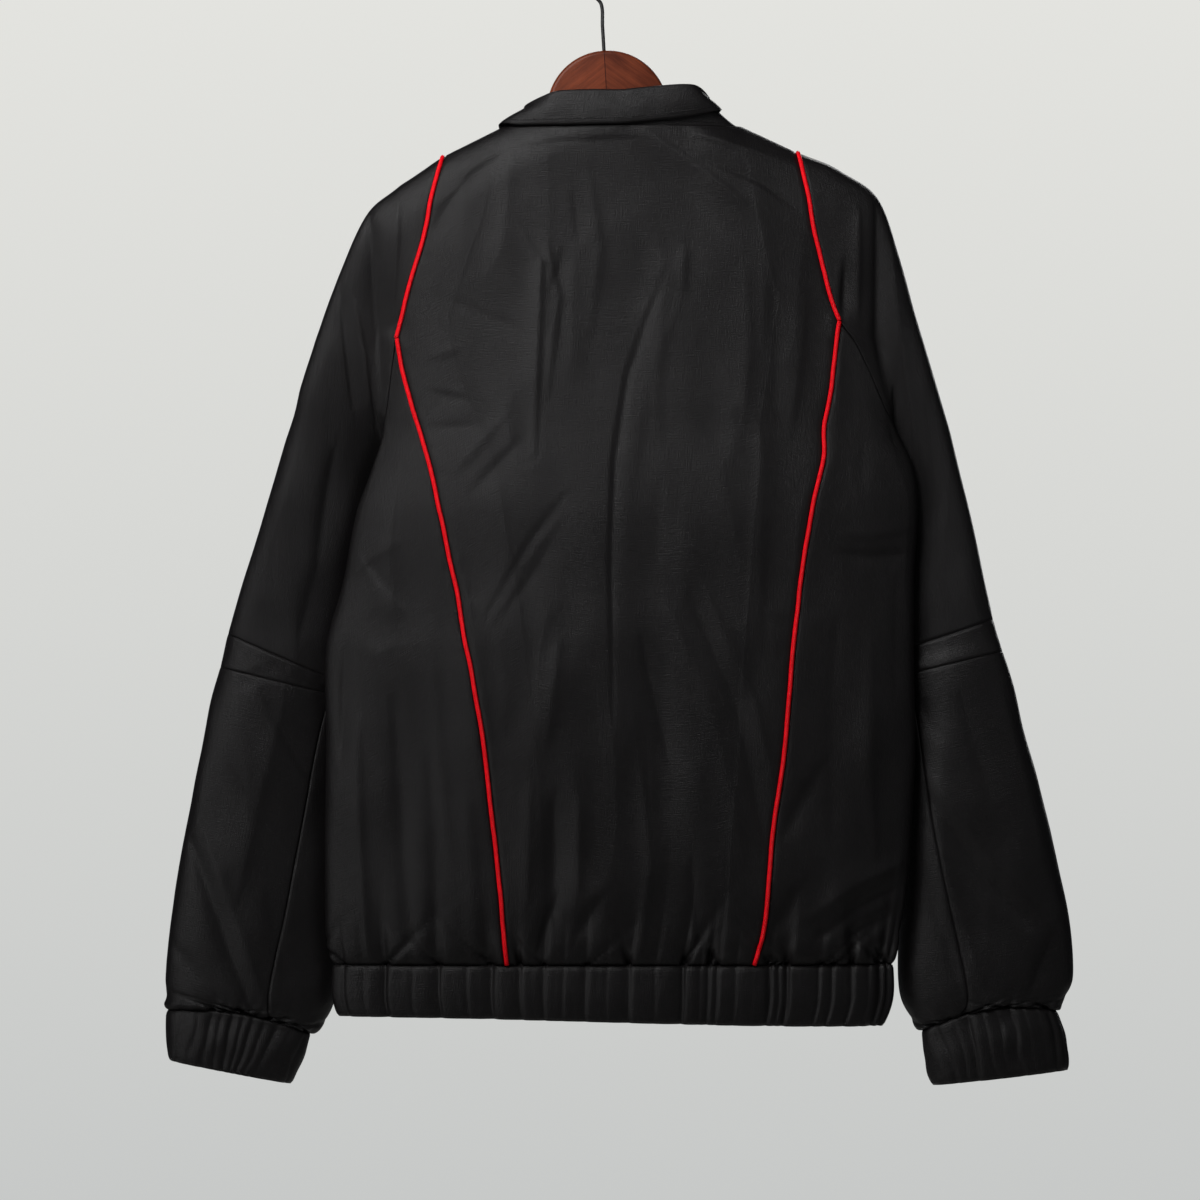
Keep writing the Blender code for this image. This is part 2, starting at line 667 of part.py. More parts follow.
def build_sleeve(side):
    """Upper sleeve, elbow band, two forearm pieces and cuff."""
    first = armhole_ring(side)
    rings = [table_ring(row) for row in SLEEVE[side]]
    heads = [head_ring(first, rings[0], row) for row in SLEEVE_HEAD[side]]
    at = tube([first] + heads + rings)
    gap = 0.008
    slit = 0.0008

    def head_wall(u, v):
        low = ease((abs(u - 0.5) - 0.34) / 0.1)
        return WALL * (1.0 - 0.33 * low * ease(1.6 - 3.2 * v))

    def piece(name, first, last, begin, end, cols, rows, wall=WALL):
        def surface(u, v):
            k = lerp(first, last, v)
            return tube_frame(at, side, lerp(begin(v), end(v), u), k)
        cloth(name + "_" + side, surface, cols, rows, wall=wall)

    piece("sleeve_upper", 0.0, ELBOW_TOP - gap, lambda v: slit - 0.5, lambda v: 0.5 - slit,
          28, 12, head_wall)
    piece("elbow_band", ELBOW_TOP + gap, ELBOW_LOW - gap,
          lambda v: slit - 0.5, lambda v: 0.5 - slit, 26, 1)

    def seam(v):
        return hermite(FOREARM_SEAM, 1, v)

    first, last = ELBOW_LOW + gap, CUFF_SEAM - gap
    piece("forearm_outer", first, last, lambda v: slit - seam(v), lambda v: seam(v) - slit, 16, 9)
    piece("forearm_under", first, last, lambda v: seam(v) + slit, lambda v: 1 - slit - seam(v), 8, 9)

    cuff = tube([table_ring(row) for row in CUFF[side]])

    def cuff_surface(u, v):
        t = lerp(slit - 0.5, 0.5 - slit, u)
        point, out = tube_frame(cuff, side, t, lerp(0.016, 2.0, v))
        height = 1.1 * math.sin(2 * math.pi * CUFF_PLEATS * u + 1.5 * math.sin(9 * t))
        return point + out * height * ease(v * 3) * ease(8 * u) * ease(8 - 8 * u), out

    cloth("cuff_" + side, cuff_surface, CUFF_PLEATS * 3, 2)


# ---------------------------------------------------------------- collar
def collar_line(angle):
    """Middle line of the collar's wall at an angle from the back middle."""
    table = COLLAR_L if angle < 0 else COLLAR_R
    around = math.radians(angle)
    x = NECK_X + NECK_HALF * math.sin(around)
    back = abs(angle) <= 90.0
    drop = NECK_DROP if back else neck_front(x)
    side = "l" if angle < 0 else "r"
    foot = torso(turn(x, drop, not back, side), drop) + Vector((0, 0, 1.0))
    out = Vector((math.sin(around) / NECK_HALF, -math.cos(around) / 24.0, 0.0)).normalized()
    fold = Vector((hermite(table, 1, abs(angle)), hermite(table, 3, abs(angle)),
                   -hermite(table, 2, abs(angle))))
    hem = foot + out * 5.0
    hem.z = -hermite(table, 4, abs(angle))
    low = Vector((0, 0, -2.6))
    inside = fold - out * 2.3 + low
    outside = fold + out * 2.3 + low
    return [foot, foot.lerp(inside, 0.5), inside, fold - out * 1.3, fold + out * 1.3, outside,
            outside.lerp(hem, 0.5) + out * 0.8, hem]


def build_collar():
    """Turned-down collar, one folded wall."""
    steps = 36
    lines = [collar_line(lerp(-176.0, 176.0, k / steps)) for k in range(steps + 1)]
    outer, inner = [], []
    for k, line in enumerate(lines):
        before, after = lines[max(k - 1, 0)], lines[min(k + 1, steps)]
        high, low = [], []
        for j, point in enumerate(line):
            along = after[j] - before[j]
            across = line[min(j + 1, 7)] - line[max(j - 1, 0)]
            out = across.cross(along).normalized() * (WALL / 2)
            high.append(point + out)
            low.append(point - out)
        outer.append(high)
        inner.append(low)
    shell("collar", outer, inner, "black_cloth")


# ---------------------------------------------------------------- pipings
PIPE_SECTION = [(-2.3, -1.0), (2.3, -1.0), (2.4, 0.6), (1.0, 1.6), (-1.0, 1.6), (-2.4, 0.6)]


def stations_on(places):
    """Sweep stations along places (theta, drop) on the torso."""
    frames = [frame_at(*place) for place in places]
    stations = []
    for k, (point, out) in enumerate(frames):
        along = frames[min(k + 1, len(frames) - 1)][0] - frames[max(k - 1, 0)][0]
        across = along.cross(out).normalized()
        stations.append((point, across, across.cross(along).normalized()))
    return stations


def build_pipings(side):
    """Piping over the shoulder and piping down the back."""
    back = [p for p in armhole(side, False, 0) if p[1] < JUNCTION[side] + 1.0]
    front = [p for p in armhole(side, True, 0) if p[1] < FRONT_JUNCTION - 12.0]
    back_curve, front_curve = path(back), path(front)
    shares = [(k / 16) ** 1.5 for k in range(17)]
    places = [back_curve(s) for s in reversed(shares)]
    places += [front_curve(s) for s in shares[1:]]
    sweep("piping_armhole_" + side, stations_on(places), PIPE_SECTION, "red_piping")

    points = seam_line(side, 0)[len(ARMHOLE_BACK[side]):]
    start = (back[-1][0], back[-1][1] + 3.0)
    points[-1] = (points[-1][0], HEM_SEAM - 1.2)
    curve = path([start] + points)
    places = [curve(k / 30) for k in range(31)]
    sweep("piping_back_" + side, stations_on(places), PIPE_SECTION, "red_piping")


# ---------------------------------------------------------------- zip
def box(name, centre, size, colour):
    """Plain block."""
    x, y, z = (s / 2 for s in size)
    verts = [centre + Vector((a, b, c)) for a in (-x, x) for b in (-y, y) for c in (-z, z)]
    faces = [(0, 1, 3, 2), (4, 6, 7, 5), (0, 4, 5, 1), (2, 3, 7, 6), (0, 2, 6, 4), (1, 5, 7, 3)]
    return add_object(name, verts, faces, colour)


def build_zip():
    """Two tapes, a slider with its bridge and a pull tab."""
    top = neck_front(NECK_X) + 3.0
    for side in "lr":
        def surface(u, v):
            drop = lerp(top, HEM_SEAM + HEM_HEIGHT - 2.0, v)
            return frame_at(zip_turn(side, drop, lerp(SEAM / 2, ZIP_HALF, u)), drop)
        cloth("zip_tape_" + side, surface, 1, 19, "black_zip", 1.2)

    front, _ = frame_at(zip_turn("r", SLIDER_DROP, 0.0), SLIDER_DROP)
    centre = front + Vector((0.0, SLIDER[1] / 2 + 0.9, 0.0))
    slider = box("zip_slider", centre, SLIDER, "black_zip")
    face = centre.y + SLIDER[1] / 2
    arch = [(-0.6, 4.0), (2.4, 3.0), (3.8, 1.6), (3.8, -1.6), (2.4, -3.0), (-0.6, -4.0),
            (-0.6, -2.8), (1.8, -2.0), (2.6, -1.0), (2.6, 1.0), (1.8, 2.0), (-0.6, 2.8)]
    ends = [Vector((centre.x + s, 0, 0)) for s in (-0.9, 0.9)]
    verts = [end + Vector((0, face + y, centre.z + z)) for end in ends for y, z in arch]
    n = len(arch)
    faces = [(j, (j + 1) % n, n + (j + 1) % n, n + j) for j in range(n)]
    faces += [tuple(range(n)), tuple(range(2 * n - 1, n - 1, -1))]
    tool = add_object("slider_bridge_tool", verts, faces, "black_zip")
    tool.hide_render = True
    tool.display_type = "WIRE"
    joint = slider.modifiers.new("bridge", "BOOLEAN")
    joint.operation = "UNION"
    joint.solver = "EXACT"
    joint.object = tool

    half, thick, length = TAB[0] / 2, TAB[1] / 2, TAB[2]
    y = face + 1.35
    top_z = centre.z + 0.2
    ring = [(-half, 1.6), (half, 1.6), (half, -length), (-half, -length)]
    hole = [(-1.6, 0.0), (1.6, 0.0), (1.6, -4.6), (-1.6, -4.6)]
    verts = []
    for depth in (y - thick, y + thick):
        verts += [Vector((centre.x + a, depth, top_z + b - 0.6)) for a, b in ring + hole]
    faces = []
    for j in range(4):
        n = (j + 1) % 4
        faces += [(j, n, n + 4, j + 4), (j + 8, j + 12, n + 12, n + 8)]
        faces += [(j, j + 8, n + 8, n), (j + 4, n + 4, n + 12, j + 12)]
    add_object("zip_pull_tab", verts, faces, "black_zip")


# ---------------------------------------------------------------- hanger
def hanger_point(a, b, y=0.0):
    """Place in the hanger's tilted plane."""
    c, s = math.cos(HANGER_TILT), math.sin(HANGER_TILT)
    return Vector((HANGER_X + a * c + b * s, y, -(HANGER_DROP + b * c - a * s)))


def hanger_outline():
    """Half outline from the dome's top to the middle of the lower edge, then its mirror."""
    half = []
    for k in range(1, 9):
        around = math.radians(10.0 * k)
        half.append((DOME * math.sin(around), DOME * (1.0 - math.cos(around))))
    half += ARM_TOP + ARM_TIP + ARM_LOW
    mirrored = [(-a, b) for a, b in reversed(half[:-1])]
    return [(0.0, 0.0)] + half + mirrored


def build_hanger():
    """Flat wooden hanger with eased edges, and its wire hook."""
    outline = hanger_outline()
    n = len(outline)
    layers = [(-6.0, 2.6), (-3.4, 0.0), (3.4, 0.0), (6.0, 2.6)]
    verts, faces = [], []
    for y, inset in layers:
        for k, (a, b) in enumerate(outline):
            before, after = outline[k - 1], outline[(k + 1) % n]
            run = Vector((after[0] - before[0], after[1] - before[1])).normalized()
            verts.append(hanger_point(a - run.y * inset, b + run.x * inset, y))
    for layer in range(3):
        for j in range(n):
            a, b = layer * n + j, layer * n + (j + 1) % n
            faces.append((a, b, b + n, a + n))
    faces += [tuple(range(n)), tuple(range(4 * n - 1, 3 * n - 1, -1))]
    add_object("hanger_wood", verts, faces, "brown_wood")

    radius = HOOK_INNER + WIRE
    line = [hanger_point(0.0, -0.03), hanger_point(0.0, -20.0), hanger_point(0.0, -38.0)]
    line += [Vector((-4.0, 0.0, -43.0)), Vector((-10.0, 0.0, -36.0))]
    for k in range(15):
        around = math.radians(lerp(215.0, -38.0, k / 14))
        line.append(Vector((radius * math.cos(around), 0.0,
                            radius * math.sin(around) - HOOK_INNER)))
    stations = []
    for k, point in enumerate(line):
        along = (line[min(k + 1, len(line) - 1)] - line[max(k - 1, 0)]).normalized()
        across = Vector((0.0, 1.0, 0.0))
        stations.append((point, across, along.cross(across)))
    section = [(WIRE * math.cos(math.pi * j / 4), WIRE * math.sin(math.pi * j / 4)) for j in range(8)]
    sweep("hanger_hook", stations, section, "black_wire")


def main():
    """Clear the scene and build every piece."""
    for obj in list(bpy.data.objects):
        bpy.data.objects.remove(obj, do_unlink=True)
    build_hanger()
    build_back()
    for side in "lr":
        build_back_side(side)
        build_front(side)
        build_sleeve(side)
        build_pipings(side)
    build_hem()
    build_collar()
    build_zip()


main()
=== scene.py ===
"""Finish for the windbreaker on its hanger: cloth with its creases, piping, zip, wood and wire.

Sizes in the tables are millimetres: x across (the wearer's left is negative), drop down from the
crown of the hook, y depth with the back at -y.  Meshes are written in metres, z up.
"""
import math

import bmesh
import bpy
import numpy as np
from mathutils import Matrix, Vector


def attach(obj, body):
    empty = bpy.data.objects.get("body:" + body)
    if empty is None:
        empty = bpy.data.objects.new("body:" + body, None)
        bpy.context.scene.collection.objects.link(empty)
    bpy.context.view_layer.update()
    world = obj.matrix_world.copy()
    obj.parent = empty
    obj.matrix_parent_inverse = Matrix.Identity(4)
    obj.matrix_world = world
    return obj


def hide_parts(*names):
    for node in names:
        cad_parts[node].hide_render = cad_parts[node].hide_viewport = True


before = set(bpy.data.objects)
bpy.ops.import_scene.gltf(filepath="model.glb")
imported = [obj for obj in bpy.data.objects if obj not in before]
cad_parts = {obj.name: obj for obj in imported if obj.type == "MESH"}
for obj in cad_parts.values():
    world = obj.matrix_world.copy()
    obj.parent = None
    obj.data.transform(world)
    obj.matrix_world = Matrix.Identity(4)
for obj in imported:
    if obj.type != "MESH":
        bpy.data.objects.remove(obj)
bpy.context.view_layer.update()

MM = 0.001

# ---- camera and light ----
FIELD = 0.984               # width of the view at FIELD_Y, metres
FIELD_Y = 0.004
SENSOR = 36.0               # millimetres
CAMERA_AWAY = 5.0           # camera to the hanger, metres
CAMERA_X = 0.002
CAMERA_Z = -0.539
FLOOR = -1.5
KEY = 6.3                   # powers of the lights, watts
FILL = 4.5
RAKE = 7.5
REAR = 40.0
SURROUND = 0.05             # light from all round
CREASE = 0.9                # height of the creases against their table
WAVES = 0.75                # height of the soft waves
TUCK = 2.4                  # reach of a sewn edge behind the cloth next to it
BODY_WALL = 0.9             # cloth walls
SLEEVE_WALL = 0.8
BAND_WALL = 1.0
TAPE_WALL = 0.7

# ---- sizes of the cut, as in the part's source ----
SEAM = 0.12                 # gap between pieces at a seam
PIPE_GAP = 0.7              # cloth edge to the middle of its piping
NECK_X = 20.5               # middle of the garment
NECK_HALF = 98.0
NECK_DROP = 151.1
NECK_ROOM = 1.0             # from the fronts to the neck seam
NECK_FRONT = 40.0           # how far the front neck falls below the back neck
FALL_L = 0.50               # slope of the shoulder seams
FALL_R = 0.466
SHOULDER_ROUND = 49.0
HEM_SEAM = 837.0
HEM_HEIGHT = 46.0
BODY_END = HEM_SEAM - SEAM / 2
SIDE_TURN = 0.45            # side seams, radians in front of the side edges
SIDE_GAP = 0.006            # half their gap, radians
ZIP_HALF = 7.0              # half the width taken by the zip tapes
ZIP_X = 18.0                # middle of the zip
ABOVE_RIDGE = 0.002         # cloth edge below the shoulder line

# ---- torso: a row per height ----
# drop, left edge, right edge, y of the side edges, depth of the back, depth of the front
TORSO = [
    (150, -212, 246, 0, 23, 24),
    (200, -205, 246, 0, 23, 25),
    (250, -198, 244, 0, 24, 28),
    (320, -184, 238, -2, 25, 34),
    (391, -174.5, 241, -6, 26, 42),
    (430, -184, 257.5, -9, 27, 45),
    (467, -197, 261.5, -11, 28, 47),
    (529, -209.5, 258, -12, 28, 49),
    (578, -222.5, 257.5, -13, 29, 51),
    (655, -222, 259, -13, 30, 53),
    (734, -222, 255.5, -13, 31, 54),
    (780, -221, 252, -13, 31, 53),
    (814, -218.5, 246.5, -12, 29, 50),
    (837, -216, 242, -12, 26, 46),
    (866, -215, 240, -12, 26, 45),
    (892, -207, 232, -12, 24, 43),
]

# ---- seams on the back: x, drop ----
ARMHOLE_BACK = {
    "l": [(-126.7, 175.7), (-131.5, 193), (-136.5, 212.6), (-139.8, 232.3), (-144.3, 252),
          (-150.7, 271.7), (-156.4, 291.4), (-161.3, 311), (-164.4, 325)],
    "r": [(164.4, 172.5), (168.5, 193), (172.6, 212.6), (175.9, 232.3), (180.5, 252),
          (185.3, 271.7), (190.3, 291.4), (197.6, 311)],
}
ARMHOLE_LOW = {
    "l": [(-167.6, 345), (-170.6, 368), (-172.8, 384)],
    "r": [(210.5, 328), (220.5, 348), (229.5, 368), (236.5, 384)],
}
ARMHOLE_FRONT = {
    "l": [(-126.7, 175.7), (-133, 205), (-138, 235), (-142, 265), (-146.5, 300),
          (-149.5, 335), (-151.5, 362), (-153, 382)],
    "r": [(164.4, 172.5), (171, 205), (178, 235), (184, 265), (190.5, 300),
          (199, 335), (209, 362), (216.5, 382)],
}
BACK_PIPING = {
    "l": [(-160, 350.4), (-154.6, 370.1), (-148.8, 389.8), (-142.7, 409.4), (-136.8, 429.1),
          (-128.3, 468.5), (-120.2, 507.8), (-111.9, 547.2), (-104.5, 586.6), (-97.6, 625.9),
          (-91.4, 665.3), (-86.9, 704.6), (-82.4, 744), (-78.4, 783.4), (-75.2, 822.7)],
    "r": [(194.9, 330.7), (192.7, 350.4), (190.3, 370.1), (184.5, 409.4), (177.9, 448.8),
          (170.6, 488.2), (164.9, 527.5), (160.2, 566.9), (156.5, 606.2), (153.4, 645.6),
          (148.9, 685), (142.9, 724.3), (139.4, 763.7), (135.6, 803), (131.3, 822.7)],
}
BACK_PIPING_HEM = {"l": -74, "r": 127.4}
JUNCTION = {"l": 325, "r": 311.0}
FRONT_JUNCTION = 340.0
ARMPIT_EDGE = 393.0         # where the armhole passes the side edge
ARMPIT = 402.0              # its lowest place, at the side seam

# ---- sleeve heads: share of the way to the sleeve's first ring, top x, drop ----
SLEEVE_HEAD = {
    "l": [(0.30, -161, 200.5), (0.62, -188, 222)],
    "r": [(0.30, 198, 187.5), (0.62, 229, 210)],
}

# ---- sleeves: a row per ring, head to cuff ----
# outer x, drop, inner x, drop, half depth, outer y, inner y, rise of the ring's middle
SLEEVE = {
    "l": [(-209, 267, -176, 421, 20, 1, 17, 0),
          (-231.5, 331, -183, 437, 22, 3, 19, 0),
          (-252, 396, -187, 454, 23, 4, 19, 0),
          (-271.5, 459, -195, 488, 25, 4, 14, 0),
          (-289.5, 521, -202, 551, 25, 5, 15, 0),
          (-301.8, 567, -207, 608, 25, 6, 15, 0),
          (-308.5, 594, -210, 618, 25, 6, 15, 0),
          (-317.5, 628, -212, 650, 26, 6, 15, 0),
          (-329, 685, -214, 706, 27, 6, 15, 0),
          (-341, 744, -214, 762, 27, 6, 15, 0),
          (-349, 803, -214, 817, 27, 6, 15, 0),
          (-353, 848, -216, 862, 26, 6, 15, 2),
          (-351, 864, -225, 883, 24, 6, 14, 4),
          (-352.5, 875, -235.5, 895.5, 21, 6, 13, 7)],
    "r": [(247, 256, 241, 421, 19, 1, 15, 0),
          (262.5, 310, 240, 436, 20, 4, 20, 0),
          (280, 370, 239, 456, 22, 6, 25, 0),
          (296, 430, 237, 482, 23, 7, 28, 0),
          (311.5, 489, 238, 524, 24, 7, 27, 0),
          (327, 554, 242, 582, 24, 7, 22, 0),
          (334.5, 580, 245, 601.5, 25, 6, 17, 0),
          (343.5, 612, 247, 636, 26, 6, 16, 0),
          (361.5, 685, 248, 706, 27, 6, 15, 0),
          (375, 744, 247, 762, 27, 6, 15, 0),
          (386, 803, 246, 817, 27, 6, 15, 0),
          (389, 846, 248, 861, 26, 6, 15, 2),
          (383, 864, 258, 881, 24, 6, 14, 6),
          (377, 876, 266, 893, 21, 6, 13, 10)],
}
CUFF = {
    "l": [SLEEVE["l"][-1],
          (-352, 897, -242.5, 915, 23, 6, 13, 3),
          (-351, 916, -251.5, 936, 21, 6, 12, 0)],
    "r": [SLEEVE["r"][-1],
          (383, 897, 269, 914, 23, 6, 13, 5),
          (385.5, 924, 274.5, 937, 21, 6, 12, 0)],
}
ELBOW_TOP = 8                # rows of the sleeve table where its seams lie
ELBOW_LOW = 9
CUFF_SEAM = 16
FOREARM = 290.0              # length of the forearm pieces
ROW_GAP = 0.0015             # half gaps of the sleeve's seams, in rows and in turns
TURN_GAP = 0.0002
HEAD_SEAM = 0.6              # depth of the underarm seam
# forearm seams: share of the forearm's length, turn from the outer edge round the back
FOREARM_SEAM = [(0, 0.43), (0.33, 0.37), (0.6, 0.32), (0.72, 0.305), (0.86, 0.317), (1, 0.345)]

# ---- collar: angle from the back middle (degrees), fold x, drop, y; fall edge drop ----
COLLAR_L = [
    (0, 22, 123.3, -22, 150.5),
    (30, -26, 123.5, -21, 151.3),
    (55, -43, 127.3, -16, 150.8),
    (90, -59, 136, -2, 150.5),
    (125, -46, 149, 14, 176),
    (150, -22, 162, 21, 190),
    (177, 17, 165, 24, 197),
]
COLLAR_R = [
    (0, 22, 123.3, -22, 150.5),
    (30, 67, 118.4, -21, 145.3),
    (55, 83, 120.5, -16, 140.3),
    (90, 92.5, 134.5, -2, 141),
    (125, 86, 149, 14, 176),
    (150, 63, 162, 21, 190),
    (177, 24, 165, 24, 197),
]

# ---- hanger, in its own plane: a across and b down from the top of the dome ----
HANGER_X = 5.3
HANGER_DROP = 88.8
HANGER_TILT = math.radians(3.4)
DOME = 50.0
ARM_TOP = [(50.5, 52), (56, 62), (70, 69), (90, 77), (113, 86.5), (137, 97),
           (160, 105.6), (178, 114.5)]
ARM_TIP = [(184.8, 121.5), (187, 129), (184, 136.5), (177, 138.5)]
ARM_LOW = [(150, 131), (115, 117), (80, 106), (45, 99), (15, 95.5), (0, 95)]
WIRE = 1.5                  # half its thickness
HOOK_INNER = 17.0
GRAIN_SLANT = 0.75          # slope of the wood's grain to its glue line

# ---- stitching: length of one stitch, metres ----
STITCH = 0.0028

# ---- zip: sizes across, out and down ----
SLIDER_DROP = 214.0
SLIDER = (9.0, 3.4, 11.0)
TAB = (6.0, 1.4, 24.0)
TOOTH = (3.0, 1.6, 1.5)
TOOTH_PITCH = 1.3

# ---- creases seen from behind: points (x, drop), width, height (+ out, - in) ----
BODY_CREASES = [
    ([(-61, 156), (-87, 178), (-113, 200), (-137, 244)], 21, -2.7),
    ([(-76, 170), (-105, 188), (-126, 215)], 11, 1.3),
    ([(-61, 238), (-45, 263), (-51, 418)], 9, 2.2),
    ([(-41, 244), (-31, 293), (-41, 375)], 7, 1.3),
    ([(-28, 250), (-32, 268), (-39, 287)], 8, -0.8),
    ([(-20, 205), (-16, 250)], 8, -0.6),
    ([(-6, 195), (2, 252), (-6, 318)], 13, 1.1),
    ([(54, 271), (24, 353), (13, 424), (10, 506), (12, 637)], 5, -1.9),
    ([(68, 293), (39, 367), (28, 441)], 13, 0.5),
    ([(-25, 451), (-53, 487), (-88, 547)], 10, -1.1),
    ([(-41, 499), (-84, 560)], 8, -0.8),
    ([(-61, 405), (-102, 449)], 10, -1.1),
    ([(-76, 391), (-113, 432)], 10, 0.8),
    ([(-31, 473), (-64, 518)], 10, 0.9),
    ([(29, 168), (68, 203), (100, 238)], 20, -2.2),
    ([(43, 158), (84, 186), (121, 215)], 11, 2.0),
    ([(78, 159), (125, 172), (166, 186)], 10, 2.6),
    ([(84, 178), (133, 199), (166, 223)], 9, -2.0),
    ([(72, 250), (70, 287)], 10, 1.2),
    ([(144, 282), (146, 334), (144, 383)], 28, -2.7),
    ([(121, 268), (123, 334), (118, 400)], 15, 1.3),
    ([(170, 293), (166, 342), (158, 400)], 11, 1.2),
    ([(75, 536), (113, 624), (137, 741)], 15, -3.2),
    ([(88, 531), (127, 621), (148, 703)], 14, 2.1),
    ([(59, 547), (94, 629), (118, 744)], 16, 2.1),
    ([(-36, 704), (-36, 796)], 18, -5.9),
    ([(-36, 785), (-50, 829)], 13, -4.8),
    ([(3, 781), (-17, 811)], 14, -4.0),
    ([(-55, 687), (-57, 785)], 15, 2.8),
    ([(-14, 703), (-16, 777)], 15, 3.0),
    ([(35, 670), (43, 752), (35, 826)], 15, 2.8),
    ([(76, 752), (84, 830)], 15, -3.0),
    ([(-121, 293), (-64, 318)], 13, -0.8),
    ([(-135, 369), (-105, 375)], 7, -0.8),
    ([(-132, 397), (-100, 395)], 7, -0.7),
    ([(-137, 342), (-111, 334)], 7, 0.6),
    ([(-64, 170), (-31, 164), (35, 162)], 8, -0.8),
    ([(-117, 473), (-100, 572), (-84, 670)], 13, 1.4),
    ([(51, 441), (47, 506)], 15, -0.7),
    ([(100, 432), (117, 506)], 16, 0.8),
    ([(141, 473), (135, 572)], 13, -0.9),
    ([(35, 572), (58, 670)], 13, -2.4),
    ([(-31, 572), (-41, 654)], 15, 2.4),
    ([(-191, 505), (-174, 527), (-159, 543)], 10, -1.3),
    ([(-182, 545), (-179, 580)], 14, -2.1),
    ([(-203, 523), (-185, 506), (-162, 494)], 10, 0.9),
    ([(-162, 432), (-169, 490), (-164, 555)], 11, 1.1),
    ([(-137, 555), (-129, 654), (-119, 752)], 13, 1.7),
    ([(-166, 621), (-160, 719), (-154, 818)], 15, -3.3),
    ([(-195, 637), (-193, 736), (-187, 826)], 13, 3.0),
    ([(-137, 670), (-132, 752), (-129, 830)], 15, -3.0),
    ([(-105, 703), (-96, 830)], 14, 2.5),
    ([(-207, 580), (-209, 670)], 12, -2.4),
    ([(196, 500), (223, 503), (251, 500)], 11, -1.7),
    ([(199, 486), (225, 487), (252, 482)], 10, 1.0),
    ([(215, 408), (217, 457)], 13, -0.8),
    ([(165, 771), (154, 792), (141, 811)], 14, -4.0),
    ([(248, 771), (212, 789), (178, 815)], 15, -5.5),
    ([(244, 756), (207, 773), (174, 797)], 14, 3.7),
    ([(238, 796), (217, 806), (196, 817)], 14, -4.4),
    ([(183, 673), (166, 703), (150, 732)], 14, -3.3),
    ([(223, 572), (220, 670), (225, 744)], 16, 3.0),
    ([(195, 555), (189, 654), (191, 736)], 15, -1.8),
    ([(244, 523), (242, 621)], 14, -1.4),
]
SLEEVE_CREASES = [
    ([(-187, 225), (-182, 301), (-172, 391)], 18, -8.0),
    ([(-199, 297), (-190, 342), (-184, 391)], 13, 4.5),
    ([(-211, 285), (-200, 383)], 11, -3.9),
    ([(-219, 326), (-244, 400), (-260, 473)], 34, 5.0),
    ([(-244, 375), (-269, 457)], 21, -4.5),
    ([(-215, 416), (-229, 506)], 16, -4.5),
    ([(-228, 506), (-244, 572)], 15, -2.4),
    ([(-277, 539), (-264, 580)], 15, -1.8),
    ([(-162, 211), (-166, 293)], 11, 2.1),
    ([(-291, 597), (-285, 613)], 12, -1.0),
    ([(-271, 621), (-232, 692)], 14, -3.6),
    ([(-299, 679), (-275, 715), (-246, 759)], 14, -3.3),
    ([(-334, 735), (-308, 810), (-283, 875)], 13, -5.4),
    ([(-346, 824), (-301, 873)], 14, -3.9),
    ([(-314, 621), (-326, 719)], 18, 2.1),
    ([(-256, 621), (-275, 695), (-293, 777)], 16, 2.2),
    ([(-322, 728), (-295, 801), (-272, 867)], 15, 3.0),
    ([(-269, 785), (-252, 859)], 15, -2.4),
    ([(199, 312), (201, 266)], 7, -3.3),
    ([(201, 315), (226, 364)], 10, -5.1),
    ([(228, 211), (228, 323), (242, 410)], 13, -5.4),
    ([(214, 223), (213, 309)], 11, 2.7),
    ([(241, 252), (246, 318), (258, 400)], 15, 3.0),
    ([(269, 375), (281, 473)], 18, -2.0),
    ([(273, 441), (289, 539)], 20, -2.0),
    ([(297, 506), (318, 572)], 16, 1.8),
    ([(261, 619), (271, 639), (282, 655)], 13, -1.6),
    ([(269, 698), (310, 759), (352, 806)], 15, -4.8),
    ([(277, 687), (318, 746), (359, 789)], 15, 3.0),
    ([(374, 808), (351, 866)], 14, -3.6),
    ([(297, 621), (322, 703)], 16, -2.0),
    ([(281, 744), (314, 851)], 15, 2.4),
    ([(330, 613), (363, 744)], 18, 2.0),
    ([(269, 769), (297, 859)], 15, -2.7),
]

